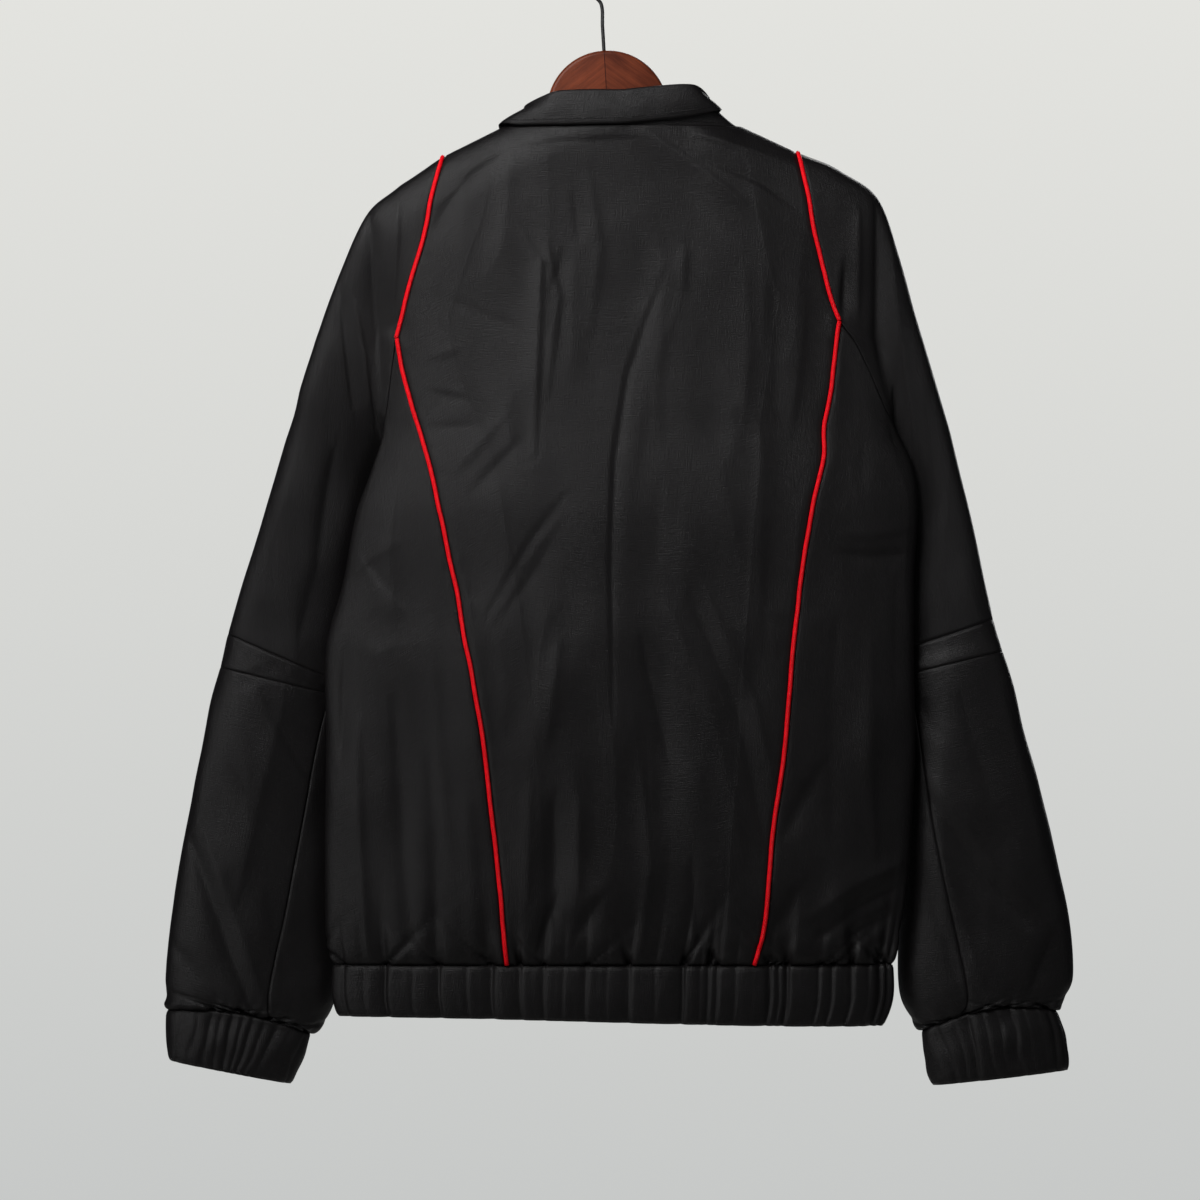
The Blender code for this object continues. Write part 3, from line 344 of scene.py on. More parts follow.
# x across, depth and half width of the hem's deep gathers on the back
HEM_GATHERS = [(-207, 1.6, 4), (-190, 1.2, 3), (-173, 2.2, 4), (-150, 1.0, 3), (-129, 2.0, 4),
               (-106, 1.0, 3), (-86, 2.6, 6), (-63, 1.8, 4), (-43, 1.6, 3), (-27, 1.0, 3), (-9, 1.6, 4),
               (8, 0.9, 3), (26, 1.8, 4), (47, 1.1, 3), (70, 2.8, 4), (84, 1.3, 3), (91, 2.0, 3),
               (98, 1.7, 3), (113, 1.2, 3), (141, 2.2, 3), (148, 1.8, 3), (155, 2.4, 3), (181, 1.8, 3),
               (192, 1.9, 3), (208, 2.0, 4), (222, 1.4, 3), (232, 2.2, 4)]
CUFF_GATHERS = {
    "l": [(0.03, 1.0), (0.08, 1.3), (0.13, 1.1), (0.17, 2.0), (0.20, 1.7), (0.235, 2.4), (0.27, 2.0),
          (0.30, 2.4), (0.335, 2.0), (0.37, 2.2), (0.41, 1.2), (0.46, 1.4), (0.53, 1.2), (0.59, 1.9),
          (0.64, 1.3), (0.70, 2.1), (0.75, 1.4), (0.80, 1.9), (0.86, 1.2), (0.93, 1.6)],
    "r": [(0.02, 1.2), (0.07, 1.9), (0.11, 1.3), (0.15, 1.4), (0.19, 2.3), (0.235, 1.5), (0.28, 1.5),
          (0.33, 2.4), (0.37, 1.4), (0.42, 1.9), (0.47, 1.2), (0.54, 1.5), (0.60, 2.0), (0.66, 1.4),
          (0.71, 1.9), (0.76, 1.3), (0.82, 2.1), (0.88, 1.2), (0.94, 1.7)],
}

# flat areas of the sleeve's pieces, square metres: upper, elbow band, outer and under forearm
SLEEVE_AREAS = {"l": (0.0758, 0.0048, 0.0599, 0.0244), "r": (0.0643, 0.0054, 0.0614, 0.0240)}


# ======== numbers
def hermite(keys, column, at):
    """Smooth values of a table's column at places given in its first column."""
    table = np.asarray(keys, float)
    xs, ys = table[:, 0], table[:, column]
    at = np.clip(np.asarray(at, float), xs[0], xs[-1])
    i = np.clip(np.searchsorted(xs, at) - 1, 0, len(xs) - 2)
    before, after = np.maximum(i - 1, 0), np.minimum(i + 2, len(xs) - 1)
    span = xs[i + 1] - xs[i]
    m0 = (ys[i + 1] - ys[before]) / (xs[i + 1] - xs[before])
    m1 = (ys[after] - ys[i]) / (xs[after] - xs[i])
    t = (at - xs[i]) / span
    value = (2 * t**3 - 3 * t**2 + 1) * ys[i] + (t**3 - 2 * t**2 + t) * span * m0
    return value + (3 * t**2 - 2 * t**3) * ys[i + 1] + (t**3 - t**2) * span * m1


def lerp(a, b, t):
    """Value between a and b."""
    return a + (b - a) * t


def ease(t):
    """Smooth step of t held between 0 and 1."""
    t = np.clip(t, 0.0, 1.0)
    return t * t * (3.0 - 2.0 * t)


def signed_power(value, power):
    """Power of a value's size, with its sign."""
    return np.sign(value) * np.abs(value) ** power


def length_of(v):
    """Length of each vector in an array."""
    return np.sqrt((v * v).sum(-1))


def unit(v):
    """Vectors of an array at length one."""
    return v / np.maximum(length_of(v), 1e-9)[..., None]


def way_along(points):
    """Way along a line of points."""
    return np.concatenate([[0.0], np.cumsum(length_of(np.diff(points, axis=0)))])


def redrawn(line, way, count):
    """Line drawn again with more points, smooth over its way."""
    keys = np.column_stack([way, line])
    at = np.linspace(0, way[-1], count)
    return np.stack([hermite(keys, column, at) for column in range(1, keys.shape[1])], -1)


def pleat(s):
    """Height of a fold at a share of its half width, 1 on its line."""
    return np.exp(-1.1 * (np.sqrt(s * s + 0.09) - 0.3))


def measured(points):
    """Points (theta, drop) with the way to each of them in front."""
    keys = [(0.0, float(points[0][0]), float(points[0][1]))]
    for a, b in zip(points, points[1:]):
        step = math.hypot((b[0] - a[0]) * 150.0, b[1] - a[1])
        keys.append((keys[-1][0] + max(step, 1e-6), float(b[0]), float(b[1])))
    return keys


def path(points):
    """Smooth curve through points (theta, drop), called with 0 to 1 along its length."""
    keys = measured(points)
    total = keys[-1][0]
    return lambda s: (hermite(keys, 1, s * total), hermite(keys, 2, s * total))


def noise(points, scale, seed):
    """Soft random heights from -1 to 1 at points in millimetres, at a scale in millimetres."""
    lattice = np.random.default_rng(seed).random((32, 32, 32)) * 2.0 - 1.0
    p = points / scale + 100.0
    cell = np.floor(p).astype(int)
    f = p - cell
    f = f * f * (3.0 - 2.0 * f)
    total = 0.0
    for i in (0, 1):
        for j in (0, 1):
            for k in (0, 1):
                value = lattice[(cell[..., 0] + i) % 32, (cell[..., 1] + j) % 32, (cell[..., 2] + k) % 32]
                share = np.where(i, f[..., 0], 1 - f[..., 0]) * np.where(j, f[..., 1], 1 - f[..., 1])
                total = total + value * share * np.where(k, f[..., 2], 1 - f[..., 2])
    return total


# ======== torso
def ridge(x):
    """Drop of the shoulder line above a place across the garment."""
    left = NECK_DROP + FALL_L * (NECK_X - NECK_HALF - x)
    right = NECK_DROP + FALL_R * (x - NECK_X - NECK_HALF)
    return np.where(x < NECK_X, left, right)


def middle(drop):
    """Middle and half width of the torso at a drop."""
    left, right = hermite(TORSO, 1, drop), hermite(TORSO, 2, drop)
    return (left + right) / 2, (right - left) / 2


def torso(theta, drop):
    """Points of the torso's outside: theta 0 right edge, pi/2 back, pi left edge, 3pi/2 front."""
    theta, drop = np.broadcast_arrays(np.asarray(theta, float), np.asarray(drop, float))
    centre, half = middle(drop)
    x = centre + half * np.cos(theta)
    rise = np.clip((drop - ridge(x)) / SHOULDER_ROUND, 0.0, 1.0)
    top = np.sqrt(1.0 - (1.0 - rise) ** 2)
    swing = np.sin(theta)
    back = hermite(TORSO, 4, drop) * np.maximum(swing, 0.0) ** 0.85 * top + SEAM / 2 * (1.0 - rise)
    front = hermite(TORSO, 5, drop) * np.maximum(-swing, 0.0) ** 1.4 * top + SEAM / 2 * (1.0 - rise)
    y = hermite(TORSO, 3, drop) + np.where(swing >= 0.0, -back, front)
    return np.stack([x, y, -drop], -1)


def back_turn(x, drop):
    """Angle of a place on the back given by x."""
    centre, half = middle(drop)
    return np.arccos(np.clip((x - centre) / half, -1.0, 1.0))


def turn(x, drop, front, side):
    """Angle of a place on the back or front given by x."""
    angle = back_turn(x, drop)
    if not front:
        return angle
    return 2 * math.pi - angle if side == "l" else -angle


def beside(theta, drop, step):
    """Point a small turn away, level with the shoulder line near it and level lower down."""
    here = torso(theta, drop)[..., 0]
    near = 1.0 - np.clip((drop - ridge(here)) / SHOULDER_ROUND, 0.0, 1.0)
    slope = ridge(torso(theta + step, drop)[..., 0]) - ridge(here)
    return torso(theta + step, drop + near * slope)


def nudge(theta, drop, distance):
    """Angle moved by a distance along the cloth."""
    step = 0.01
    speed = length_of(beside(theta, drop, step) - beside(theta, drop, -step)) / (2 * step)
    return theta + distance / speed


def outward(side):
    """Sign that leads from the body to the sleeve in theta on the back."""
    return 1.0 if side == "l" else -1.0


def side_edge(side):
    """Angle of the torso's side edge."""
    return math.pi if side == "l" else 0.0


def gap_at(drop, junction):
    """Half gap of the armhole seam: wide where it holds piping."""
    return lerp(PIPE_GAP, SEAM / 2, ease((drop - junction) / 14.0))


def armhole(side, front, shift):
    """Armhole points (theta, drop) from the shoulder to the armpit, moved by shift gaps."""
    high = ARMHOLE_FRONT[side] if front else ARMHOLE_BACK[side] + ARMHOLE_LOW[side]
    junction = FRONT_JUNCTION if front else JUNCTION[side]
    sign = outward(side) * shift
    edge = side_edge(side)
    least = SEAM / 2 if shift > 0 else 3 * SEAM
    points = []
    for x, drop in high:
        away = sign * max(gap_at(drop, junction), least) * (-1.0 if front else 1.0)
        points.append((nudge(turn(x, drop, front, side), drop, away), drop))
    top_x = torso(*points[0])[0]
    top_drop = ridge(top_x) + ABOVE_RIDGE
    points[0] = (turn(top_x, top_drop, front, side), top_drop)
    if not front:
        points.append((edge, ARMPIT_EDGE - shift * least))
    points.append((edge + outward(side) * SIDE_TURN, ARMPIT - shift * least))
    return points


def whole_armhole(side, shift):
    """Curve round the armhole from the shoulder down the back, and its armpit's share."""
    back, front = armhole(side, False, shift), armhole(side, True, shift)
    first, second = measured(back)[-1][0], measured(front)[-1][0]
    return path(back + front[-2::-1]), first / (first + second)


def seam_line(side, shift):
    """Armhole and back piping seam (theta, drop) from the shoulder to the hem, moved over."""
    points = armhole(side, False, shift)[:len(ARMHOLE_BACK[side])]
    for x, drop in BACK_PIPING[side] + [(BACK_PIPING_HEM[side], BODY_END)]:
        away = outward(side) * shift * PIPE_GAP
        points.append((nudge(turn(x, drop, False, side), drop, away), drop))
    return points


def frame_at(theta, drop):
    """Points and outward directions of the torso."""
    across = beside(theta, drop, 0.01) - beside(theta, drop, -0.01)
    down = torso(theta, drop + 0.02) - torso(theta, drop - 0.02)
    return torso(theta, drop), unit(np.cross(across, down))


def joined(first, second, share):
    """Two curves end to end, the first over a share of the way."""
    def both(s):
        s = np.asarray(s, float)
        a, b = first(np.clip(s / share, 0, 1)), second(np.clip((s - share) / (1.0 - share), 0, 1))
        return tuple(np.where(s < share, p, q) for p, q in zip(a, b))
    return both


def patch(top, bottom, start, end):
    """Places (theta, drop) between four edge curves, called with shares across and down."""
    corners = (top(0.0), top(1.0), bottom(0.0), bottom(1.0))

    def place(u, v):
        out = []
        tops, bottoms, starts, ends = top(u), bottom(u), start(v), end(v)
        for i in (0, 1):
            ruled = lerp(tops[i], bottoms[i], v) + lerp(starts[i], ends[i], u)
            high = lerp(corners[0][i], corners[1][i], u)
            low = lerp(corners[2][i], corners[3][i], u)
            out.append(ruled - lerp(high, low, v))
        return out

    return place


# ======== creases
def crease_lines(table):
    """Polylines of a crease table as arrays with their way, width and height."""
    lines = []
    for points, width, height in table:
        p = np.array(points, float)
        if (p[-1] - p[0]) @ (-0.5, 1.0) < 0:
            p = p[::-1]
        step = np.hypot(*(p[1:] - p[:-1]).T)
        lines.append((p, np.concatenate([[0.0], np.cumsum(step)]), width, height))
    return lines


def beside_line(p, way, x, drop):
    """Distances of places to a polyline, the way along it there, and the side they lie on."""
    best = np.full(np.shape(x), 1e9)
    where = np.zeros(np.shape(x))
    aside = np.zeros(np.shape(x))
    for (x0, d0), (x1, d1), start, end in zip(p, p[1:], way, way[1:]):
        run = np.array([x1 - x0, d1 - d0]) / (end - start)
        along = np.clip((x - x0) * run[0] + (drop - d0) * run[1], 0.0, end - start)
        off = np.hypot(x - x0 - run[0] * along, drop - d0 - run[1] * along)
        closer = off < best
        best = np.where(closer, off, best)
        where = np.where(closer, start + along, where)
        aside = np.where(closer, run[0] * (drop - d0) - run[1] * (x - x0), aside)
    return best, where, aside


def crease_height(lines, x, drop):
    """Sum of creases at places: each a trough or ridge, steep on the flank away from the light."""
    total = np.zeros(np.shape(x))
    for p, way, width, height in lines:
        best, where, aside = beside_line(p, way, x, drop)
        share = where / way[-1]
        swell = np.sin(math.pi * np.clip(share * 0.9 + 0.05, 0, 1)) ** 0.7
        steep = aside < 0 if height > 0 else aside > 0
        lean = min(max(0.26 + 0.07 * (width - 9), 0.26), 0.85)
        narrow = 0.5 * width * (0.6 + 0.7 * np.sin(math.pi * share)) * np.where(steep, lean, 2.1 - lean)
        total += CREASE * height * swell * pleat(best / narrow)
    return total


# ======== cloth sheets
def grid_shape(cols, rows):
    """Flat grid and the number of each vertex by row and column."""
    bm = bmesh.new()
    bmesh.ops.create_grid(bm, x_segments=cols, y_segments=rows, size=0.5)
    order = np.array([[v.co.x + 0.5, v.co.y + 0.5] for v in bm.verts])
    index = np.rint(order * (cols, rows)).astype(int)
    return bm, index[:, 1], index[:, 0]


def share_grid(cols, rows, spread=1.0):
    """Shares across and down at the points of a grid."""
    return np.meshgrid(np.linspace(0, 1, cols + 1), np.linspace(0, 1, rows + 1) ** spread)


def ways(points):
    """Distances in millimetres to a sheet's four edges: start, end, top, bottom."""
    across = length_of(np.diff(points, axis=1))
    down = length_of(np.diff(points, axis=0))
    start = np.concatenate([np.zeros((len(points), 1)), np.cumsum(across, 1)], 1)
    top = np.concatenate([np.zeros((1, points.shape[1])), np.cumsum(down, 0)], 0)
    return start, start[:, -1:] - start, top, top[-1:] - top


def rolled(points, normals, edges, depth=1.3, width=2.4, pucker=0.4, seed=3):
    """Points with the cloth turned in at its seams and puckered beside them."""
    height, turned = 0.0, 0.0
    ripple = noise(points, 6.5, seed)
    for use, distance in zip(edges, ways(points)):
        if np.any(use):
            turned = np.maximum(turned, use * depth * np.exp(-(distance / width) ** 2))
            height = height + pucker * ripple * np.exp(-distance / 7.0) * (1 - np.exp(-distance / 1.5))
    return points + normals * (height - turned)[..., None]


def tucked_in(points, normals):
    """Grid with its first edge turned in behind the cloth that it is sewn to."""
    low = points[0] - normals[0] * TUCK
    high = low + unit(points[0] - points[1]) * TUCK
    return np.concatenate([[high, low], points]), np.concatenate([normals[:1], normals[:1], normals])


def sheet_piece(name, node, points, normals, flat, area, material=None,
                wall=BAND_WALL):
    """Cloth sheet in a node's place through a grid of millimetre points, its wall on the inside."""
    rows, cols = points.shape[0] - 1, points.shape[1] - 1
    bm, row, col = grid_shape(cols, rows)
    start, end, top, bottom = ways(points)
    facing = np.cross(np.gradient(points, axis=1), np.gradient(points, axis=0))
    if (facing * normals).sum() < 0:
        bmesh.ops.reverse_faces(bm, faces=bm.faces)
    middle_way = start - start[:, -1:] / 2
    cut = bm.loops.layers.uv.new("cut")
    seam = bm.verts.layers.float_vector.new("seam")
    bm.verts.ensure_lookup_table()
    places = points[row, col] * MM
    uv = np.stack([middle_way[row, col], -top[row, col]], -1) * MM
    near = np.stack([start[row, col], end[row, col], np.minimum(top, bottom)[row, col]], -1)
    for i, vert in enumerate(bm.verts):
        vert.co = places[i]
        vert[seam] = near[i]
        for loop in vert.link_loops:
            loop[cut].uv = uv[i]
    piece = finish(name, bm, material or CLOTH, wall)
    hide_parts(node)


def finish(name, bm, material, wall=0.0, body="jacket", smooth=True):
    """Object of a bmesh, riding on its body, with a wall where one is given."""
    mesh = bpy.data.meshes.new(name)
    bm.to_mesh(mesh)
    bm.free()
    mesh.materials.append(material)
    mesh.polygons.foreach_set("use_smooth", [smooth] * len(mesh.polygons))
    obj = bpy.data.objects.new(name, mesh)
    bpy.context.scene.collection.objects.link(obj)
    if wall:
        solid = obj.modifiers.new("wall", "SOLIDIFY")
        solid.thickness = wall * MM
        solid.offset = -1.0
    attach(obj, body)
    return obj


# ======== folds on the surface
BODY = crease_lines(BODY_CREASES)
SLEEVES = crease_lines(SLEEVE_CREASES)


def creased(points, normals, lines):
    """Heights of creases: the given ones behind, similar ones in front."""
    x, drop = points[..., 0], -points[..., 2]
    behind = ease(-1.6 * normals[..., 1])
    before = ease(1.6 * normals[..., 1])
    height = behind * crease_height(lines, x, drop)
    return height + 0.75 * before * crease_height(lines, 2 * NECK_X - x + 6.0, drop + 11.0)


def folded(points, normals, lines):
    """Heights of creases and soft waves."""
    hung = points * (1.0, 1.0, 0.3)
    wave = 1.4 * noise(hung, 46.0, 21) + 0.7 * noise(points * (1, 1, 0.5), 25.0, 22)
    wave = wave * (1.0 + 1.9 * ease((-points[..., 2] - 420.0) / 260.0))
    wander = hung + 5.0 * noise(points, 38.0, 23)[..., None]
    sharp = 1.0 - 2.0 * np.abs(noise(wander, 30.0, 24))
    wave = wave + 0.8 * sharp + 0.04 * noise(points, 5.5, 25)
    return creased(points, normals, lines) + WAVES * wave


def low_armholes():
    """Points along the unpiped part of both armholes."""
    lines = []
    for side in "lr":
        whole, _ = whole_armhole(side, 0)
        line = torso(*whole(np.linspace(0, 1, 140)))
        before = line[:, 1] > 0
        least = np.where(before, FRONT_JUNCTION, JUNCTION[side] + 4.0)
        lines.append(line[-line[:, 2] > least])
    return np.concatenate(lines)


LOW_ARMHOLES = low_armholes()


def below_ridge(x, drop):
    """Share of the folds kept at a place: none on the shoulder line."""
    return ease((drop - ridge(x) - 2.0) / 26.0)


def calm_near_armhole(points):
    """Share of the folds kept at a place: none where body and sleeve meet at a sharp angle."""
    least = np.full(points.shape[:-1], 1e9)
    for place in LOW_ARMHOLES:
        least = np.minimum(least, ((points - place) ** 2).sum(-1))
    return ease(np.sqrt(least) / 18.0)


def hem_table(drop, away, count):
    """Angles from zip to zip at a drop, and the way round to each."""
    turns = np.linspace(zip_turn("r", drop, away), zip_turn("l", drop, away), count)
    return turns, way_along(torso(turns, drop))


def zip_turn(side, drop, away):
    """Angle of the zip's side at a distance from its middle."""
    return turn(ZIP_X - outward(side) * away, drop, True, side)


def hem_gather_list():
    """Places round the hem, depths and half widths of all its gathers."""
    turns, way = hem_table(HEM_SEAM, ZIP_HALF, 900)
    marks = [(float(np.interp(back_turn(x, HEM_SEAM), turns, way)), depth, half)
             for x, depth, half in HEM_GATHERS]
    random = np.random.default_rng(11)
    behind = [m[0] for m in marks]
    at = 6.0
    while at < way[-1] - 6.0:
        if at < min(behind) - 6.0 or at > max(behind) + 6.0:
            marks.append((at, 1.0 + 1.5 * random.random(), 2.6 + 2.0 * random.random()))
        at += 9.0 + 9.0 * random.random()
    fine = np.arange(4.0, way[-1] - 4.0, 13.0)
    marks += [(float(m + 8.0 * random.random()), 0.2 + 0.5 * random.random(), 2.6) for m in fine]
    return turns, way, marks


TURNS, WAY, MARKS = hem_gather_list()


def puckers(marks, at, above, size):
    """Short slanting tucks that run up from a gathered seam at its deeper gathers."""
    depth = np.zeros(np.shape(at))
    for place, deep in marks:
        if deep > 1.5:
            slant = 1.1 * math.sin(7.3 * place / size)
            s = (at - place - size * slant * above) / (size * (1.9 + 0.08 * above))
            depth -= 3.4 * deep * np.exp(-s * s - above / (6.0 + 4.0 * deep))
    return depth


def hem_gathers(theta, sharp=1.0):
    """Depth of the gathers round the hem at an angle."""
    at = np.interp(theta, TURNS, WAY)
    depth = np.zeros(np.shape(at))
    for place, deep, half in MARKS:
        s = at - place
        s = s / (half * sharp * np.where(s < 0, 0.45, 1.7))
        depth -= min(0.7 * deep * deep, 4.0) * pleat(s)
    return depth


def drift(points, above):
    """Turn by which gathers wander above their seam."""
    return 0.0006 * above * noise(points * (1, 1, 0.02), 40.0, 17)


def fanned(deep, least, more, above, reach):
    """Heights of gathers that spread above their seam and fade over a reach."""
    return deep * (least + more * above / (above + 9.0)) * np.exp(-above / reach)


def bulge(full, above, reach):
    """Height of the full cloth above a gathered seam."""
    return full * (1 - np.exp(-above / 8.0)) * np.exp(-above / reach)


def fine_gathers(points):
    """Heights of the fine gathers on an elastic band."""
    return 0.25 * noise(points * (1, 1, 0.3), 5.0, 8)


def body_height(points, normals, theta, drop):
    """Height of creases, waves and gathers on the torso."""
    x = points[..., 0]
    high = below_ridge(x, drop)
    low = ease((HEM_SEAM - drop) / 14.0)
    zip_near = np.where(normals[..., 1] > 0, ease((np.abs(x - ZIP_X) - 10.0) / 30.0), 1.0)
    height = folded(points, normals, BODY + SLEEVES) * high * low * zip_near
    height = height * calm_near_armhole(points)
    above = np.maximum(HEM_SEAM - drop, 0.0)
    reach = 17.0 + 11.0 * noise(points * (1, 1, 0.01), 15.0, 7)
    deep = hem_gathers(theta + drift(points, above), 1.1) * 2.4
    gathered = fanned(deep, 0.25, 1.6, above, reach)
    at = np.interp(theta, TURNS, WAY)
    gathered = gathered + puckers([(place, deep) for place, deep, _ in MARKS], at, above, 1.0)
    full = 6.5 + 3.5 * noise(points * (1, 1, 0.2), 26.0, 18)
    return height + (gathered + bulge(full, above, 30.0)) * zip_near


def body_sheet(name, place, cols, rows, seams, node, flat, area, spread=1.0, seed=1):
    """Finished sheet of the torso over shares across and down."""
    theta, drop = place(*share_grid(cols, rows, spread))
    points, normals = frame_at(theta, drop)
    points = points + normals * body_height(points, normals, theta, drop)[..., None]
    side_seam = 0.1 + 0.9 * ease((drop - ARMPIT) / 25.0)
    if name.startswith("front_cloth"):
        seams = (np.where(drop < FRONT_JUNCTION, 1.0, side_seam)[:, :1],) + seams[1:]
    if name.startswith("back_side_cloth"):
        seams = seams[:1] + (side_seam[:, -1:],) + seams[2:]
    points = rolled(points, normals, seams, seed=seed)
    sheet_piece(name, node, points, normals, flat, area, wall=BODY_WALL)


# ======== body pieces
def neck_front(x, room=0.0):
    """Drop of the front neck seam, with room to the collar."""
    share = np.minimum(np.abs(x - NECK_X) / (NECK_HALF + room), 1.0)
    return NECK_DROP + (NECK_FRONT + room) * np.sqrt(1.0 - share * share)


def make_back():
    """Back between the pipings."""
    left, right = seam_line("l", -1), seam_line("r", -1)
    first, last = torso(*left[0])[0], torso(*right[0])[0]

    def top(u):
        x = lerp(first, last, u)
        drop = np.maximum(ridge(x) + ABOVE_RIDGE, NECK_DROP + SEAM / 2)
        return back_turn(x, drop), drop

    place = patch(top, path([left[-1], right[-1]]), path(left), path(right))
    body_sheet("back_centre_cloth", place, 164, 256, (1, 1, 0.2, 1), "back_centre",
               (0.37, 0.71), 0.193, 1.15, 21)


def make_back_side(side):
    """Side back from the back piping round the edge to the side seam."""
    x, drop = ARMHOLE_BACK[side][-1]
    start = (nudge(turn(x, drop + 2.5, False, side), drop + 2.5, outward(side) * PIPE_GAP), drop + 2.5)
    inner = path([start] + [p for p in seam_line(side, 1) if p[1] > JUNCTION[side] + 6.0])
    seam_turn = side_edge(side) + outward(side) * (SIDE_TURN - SIDE_GAP)
    whole, bottom_way = whole_armhole(side, -1)
    low = [whole(bottom_way * k / 30) for k in range(30)]
    corner = (seam_turn, whole(bottom_way)[1])
    top = path([inner(0.0)] + [p for p in low if p[1] > inner(0.0)[1] + 6.0] + [corner])
    bottom = path([inner(1.0), (seam_turn, BODY_END)])
    seam = path([corner, (seam_turn, BODY_END)])
    place = patch(top, bottom, inner, seam)
    flat, area = ((0.18, 0.50), 0.0636) if side == "l" else ((0.155, 0.515), 0.0601)
    body_sheet("back_side_cloth_" + side, place, 84, 190, (1, 1, 0.1, 1), "back_side_" + side,
               flat, area, 1.0, 31)


def make_front(side):
    """Plain front from armhole and side seam to the zip."""
    seam_turn = side_edge(side) + outward(side) * (SIDE_TURN + SIDE_GAP)
    whole, bottom_way = whole_armhole(side, -1)
    hole = [whole(lerp(1.0, bottom_way, k / 20)) for k in range(21)]
    hole[-1] = (seam_turn, hole[-1][1])
    start = joined(path(hole), path([hole[-1], (seam_turn, BODY_END)]), 0.34)
    point = NECK_X - outward(side) * (NECK_HALF + NECK_ROOM)
    zip_x = ZIP_X - outward(side) * (ZIP_HALF + SEAM)
    tip = torso(*hole[0])[0]

    def top(u):
        u = np.asarray(u, float)
        bend = np.cos(math.pi / 2 * np.clip((u - 0.3) / 0.7, 0, 1))
        x = np.where(u < 0.3, lerp(tip, point, u / 0.3), lerp(zip_x, point, bend))
        drop = np.maximum(neck_front(x, NECK_ROOM), ridge(x) + ABOVE_RIDGE)
        return turn(x, drop, True, side), drop

    neck_low = float(top(1.0)[1])

    def end(v):
        drop = lerp(neck_low, BODY_END, v)
        return zip_turn(side, drop, ZIP_HALF + SEAM), drop

    place = patch(top, path([(seam_turn, BODY_END), end(1.0)]), start, end)
    area = 0.1245 if side == "l" else 0.130
    body_sheet("front_cloth_" + side, place, 66, 150, (1, 1, 0.2, 1), "front_" + side,
               (0.22, 0.705), area, 1.4, 41)


def hem_bottom(x):
    """Drop of the hem band's lower edge."""
    return HEM_SEAM + HEM_HEIGHT + 4.0 * np.sin(np.radians((x - 15.0) * 0.4))


def make_hem():
    """Elastic hem band gathered from zip to zip."""
    level = HEM_SEAM + HEM_HEIGHT / 2
    spaced, way = hem_table(level, ZIP_HALF + 4 * SEAM, 1500)
    turns = np.interp(np.linspace(0, way[-1], 761), way, spaced)
    theta, v = np.meshgrid(turns, np.linspace(0, 1, 19))
    drop = lerp(HEM_SEAM + SEAM / 2, hem_bottom(torso(theta, level)[..., 0]), v)
    points, normals = frame_at(theta, drop)
    calm = ease((theta - spaced[0]) * 12) * ease((spaced[-1] - theta) * 12)
    lean = theta + 0.010 * noise(points, 30.0, 5) * v
    deep = 1.25 * hem_gathers(lean, 0.8) * (1.0 - 0.25 * v) + 0.9
    deep = deep + fine_gathers(points) + 1.3 * np.sin(math.pi * v) ** 0.8
    points = points + normals * (deep * calm)[..., None]
    points = rolled(points, normals, (0, 0, 1, 1), 1.0, 2.0, 0.2)
    points, normals = tucked_in(points, normals)
    sheet_piece("hem_cloth", "hem_band", points, normals, (1.0, 0.048), 0.0453, BAND)


# ======== sleeves
def armhole_ring(side):
    """First ring of a sleeve, called with the turn from the shoulder round the back."""
    whole, bottom = whole_armhole(side, 1.1)

    def ring(t):
        t = np.mod(t, 1.0)
        share = np.where(t <= 0.5, 2 * t, 2 * (1.0 - t))
        share = share - 0.05 * np.sin(2 * math.pi * share)
        way = np.where(t <= 0.5, bottom * share, 1.0 - (1.0 - bottom) * share)
        return torso(*whole(way))

    return ring


def table_ring(row):
    """Ring of a sleeve from its table row."""
    ox, od, ix, idrop, depth, oy, iy, rise = row

    def ring(t):
        phi = 2 * math.pi * t + 0.16 * np.sin(4 * math.pi * t)
        along, side = np.cos(phi), np.sin(phi)
        x = (ox + ix) / 2 + (ox - ix) / 2 * along
        drop = (od + idrop) / 2 + (od - idrop) / 2 * along - rise * (1 - along * along)
        y = (oy + iy) / 2 + (oy - iy) / 2 * along
        return np.stack([x, y - depth * signed_power(side, 0.75), -drop], -1)

    return ring


def head_ring(first, third, row):
    """Ring of a sleeve's head, between two rings and drawn up to its top."""
    share, x, drop = row
    lift = np.array([x, 0.0, -drop]) - lerp(first(0.0), third(0.0), share)

    def ring(t):
        high = np.maximum(np.cos(2 * math.pi * t), 0.0) ** 2
        return lerp(first(t), third(t), share) + lift * np.asarray(high)[..., None]

    return ring


def tube(rings):
    """Smooth surface through rings, called with turns and one ring number."""
    last = len(rings) - 1

    def at(t, k):
        i = min(max(int(k), 0), last - 1)
        s = k - i
        p1, p2 = rings[i](t), rings[i + 1](t)
        p0 = rings[i - 1](t) if i > 0 else p1 * 2 - p2
        p3 = rings[i + 2](t) if i + 2 <= last else p2 * 2 - p1
        a = p0 * -0.5 + p1 * 1.5 - p2 * 1.5 + p3 * 0.5
        b = p0 - p1 * 2.5 + p2 * 2 - p3 * 0.5
        c = (p2 - p0) * 0.5
        return ((a * s + b) * s + c) * s + p1

    return at


def tube_grid(at, side, begin, end, first, last, cols, rows):
    """Points and directions of part of a sleeve."""
    points, normals = [], []
    for v in np.linspace(0, 1, rows + 1):
        k = lerp(first, last, v)
        t = np.linspace(begin(v), end(v), cols + 1)
        a = at(t + 0.004, k) - at(t - 0.004, k)
        b = at(t, k + 0.02) - at(t, k - 0.02)
        points.append(at(t, k))
        normals.append(unit(np.cross(a, b) if side == "r" else np.cross(b, a)))
    return np.array(points), np.array(normals)


